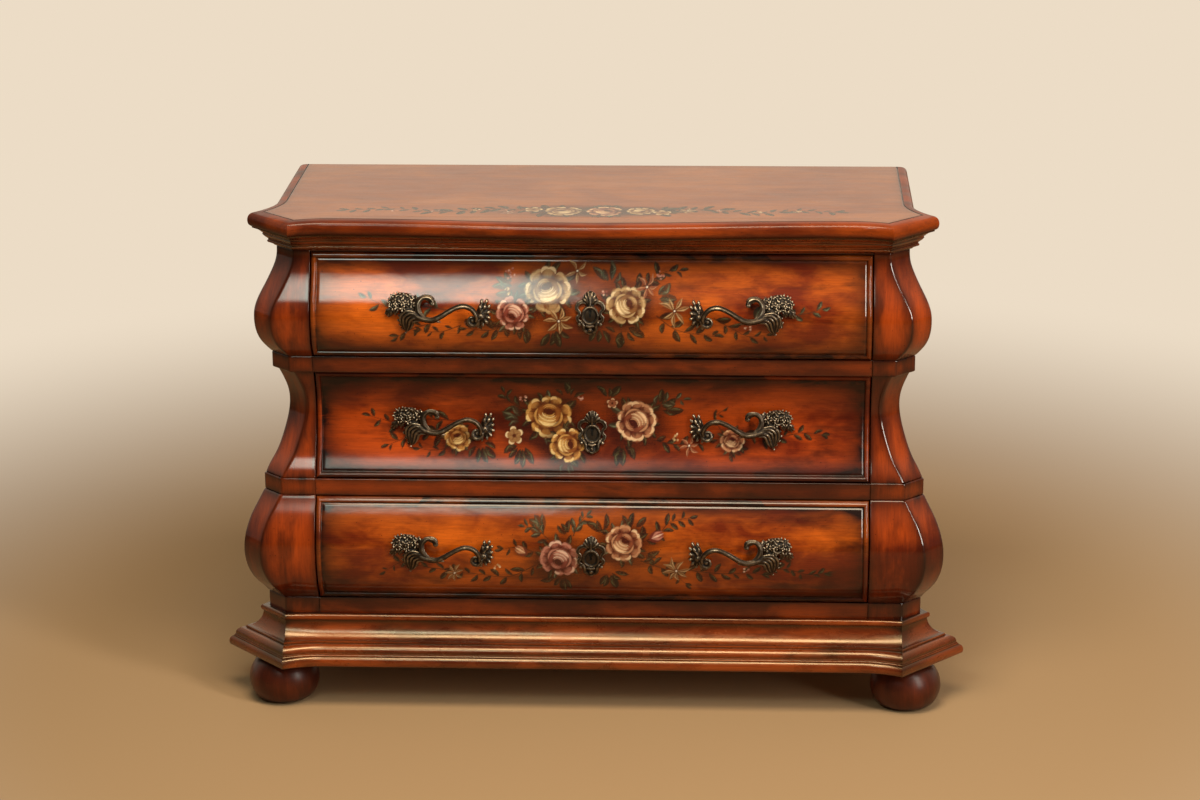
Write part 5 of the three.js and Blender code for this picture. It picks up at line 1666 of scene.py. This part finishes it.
# Lights: a graded one to the left, a tall strip to the right and a soft overhead
LAMPS = {
    "window": dict(place=(-0.85, -3.24, 3.22), target=(-0.42, -0.15, 0.73), size=(1.1, 1.05), power=47,
                   colour=(0.87, 1.0, 0.87)),
    "corner_strip": dict(place=(3.45, -2.8, 2.65), target=(0.5, -0.19, 0.6), size=(0.6, 3.4), power=150,
                         colour=(1.0, 0.93, 0.82)),
    "overhead": dict(place=(0.0, -1.2, 3.0), target=(0.0, 0.0, 0.5), size=(1.6, 0.9), power=72,
                     colour=(1.0, 0.84, 0.6)),
}
WINDOW_ACROSS, WINDOW_UP = (0.0, 0.4), (0.0, 0.5)


def add_lamp(name, place, target, size, power, colour):
    data = bpy.data.lights.new(name, "AREA")
    data.shape = "RECTANGLE"
    data.size, data.size_y = size
    data.energy = power
    data.color = colour
    lamp = add_object(name, data)
    lamp.location = place
    lamp.rotation_euler = (Vector(target) - Vector(place)).to_track_quat("-Z", "Y").to_euler()
    return lamp


def grade(lamp, across, up):
    """Fade a lamp over its own face: from 0 to 1 between two shares of its width and of its height."""
    lamp.data.use_nodes = True
    tree = lamp.data.node_tree
    parametric = add_node(tree, "ShaderNodeNewGeometry").outputs["Parametric"]
    face = add_node(tree, "ShaderNodeSeparateXYZ", {0: parametric})
    strength = calculate(tree, "MULTIPLY", ramp_between(tree, face.outputs["X"], *across),
                         ramp_between(tree, face.outputs["Y"], *up))
    tree.links.new(strength, tree.nodes["Emission"].inputs["Strength"])


lamps = {name: add_lamp(name, **lamp) for name, lamp in LAMPS.items()}
grade(lamps["window"], WINDOW_ACROSS, WINDOW_UP)

# The background: dim in front, lighter behind, and pale wherever the camera looks
FRONT_LIGHT = 0.1
REAR_LIGHT, REAR_GLOSS = 0.35, 0.5
REAR_SPAN = -0.1, 0.4


def add_background():
    world = bpy.data.worlds.new("room")
    bpy.context.scene.world = world
    world.use_nodes = True
    tree = world.node_tree
    background = tree.nodes["Background"]
    background.inputs["Color"].default_value = PALE_COLOUR
    direction = add_node(tree, "ShaderNodeTexCoord").outputs["Generated"]
    rearward = add_node(tree, "ShaderNodeSeparateXYZ", {0: direction}).outputs["Y"]
    path = add_node(tree, "ShaderNodeLightPath").outputs
    glossy = calculate(tree, "MULTIPLY", path["Is Glossy Ray"], REAR_GLOSS)
    rear = calculate(tree, "MULTIPLY", ramp_between(tree, rearward, *REAR_SPAN),
                     calculate(tree, "ADD", glossy, REAR_LIGHT))
    strength = calculate(tree, "MAXIMUM", calculate(tree, "ADD", rear, FRONT_LIGHT), path["Is Camera Ray"])
    tree.links.new(strength, background.inputs["Strength"])


add_background()

# Camera at the photograph's viewing angle
FOCAL_PIXELS = 3152.14
FRAME_WIDTH = 1200
SENSOR = 36.0
CAMERA_PLACE = Vector((0.26922, -5.19502, 2.12964))
YAW, PITCH, ROLL = (math.radians(a) for a in (-2.893, 17.48, -0.3996))


def add_camera():
    level_right = Vector((math.cos(YAW), -math.sin(YAW), 0))
    ahead = Vector((math.sin(YAW) * math.cos(PITCH), math.cos(YAW) * math.cos(PITCH), -math.sin(PITCH)))
    level_up = level_right.cross(ahead)
    right = math.cos(ROLL) * level_right + math.sin(ROLL) * level_up
    up = -math.sin(ROLL) * level_right + math.cos(ROLL) * level_up
    data = bpy.data.cameras.new("camera")
    data.sensor_fit = "HORIZONTAL"
    data.sensor_width = SENSOR
    data.lens = FOCAL_PIXELS * SENSOR / FRAME_WIDTH
    camera = add_object("camera", data)
    turn = Matrix((right, up, -ahead)).transposed().to_4x4()
    camera.matrix_world = Matrix.Translation(CAMERA_PLACE) @ turn
    bpy.context.scene.camera = camera


add_camera()
bpy.context.scene.view_settings.view_transform = "Standard"
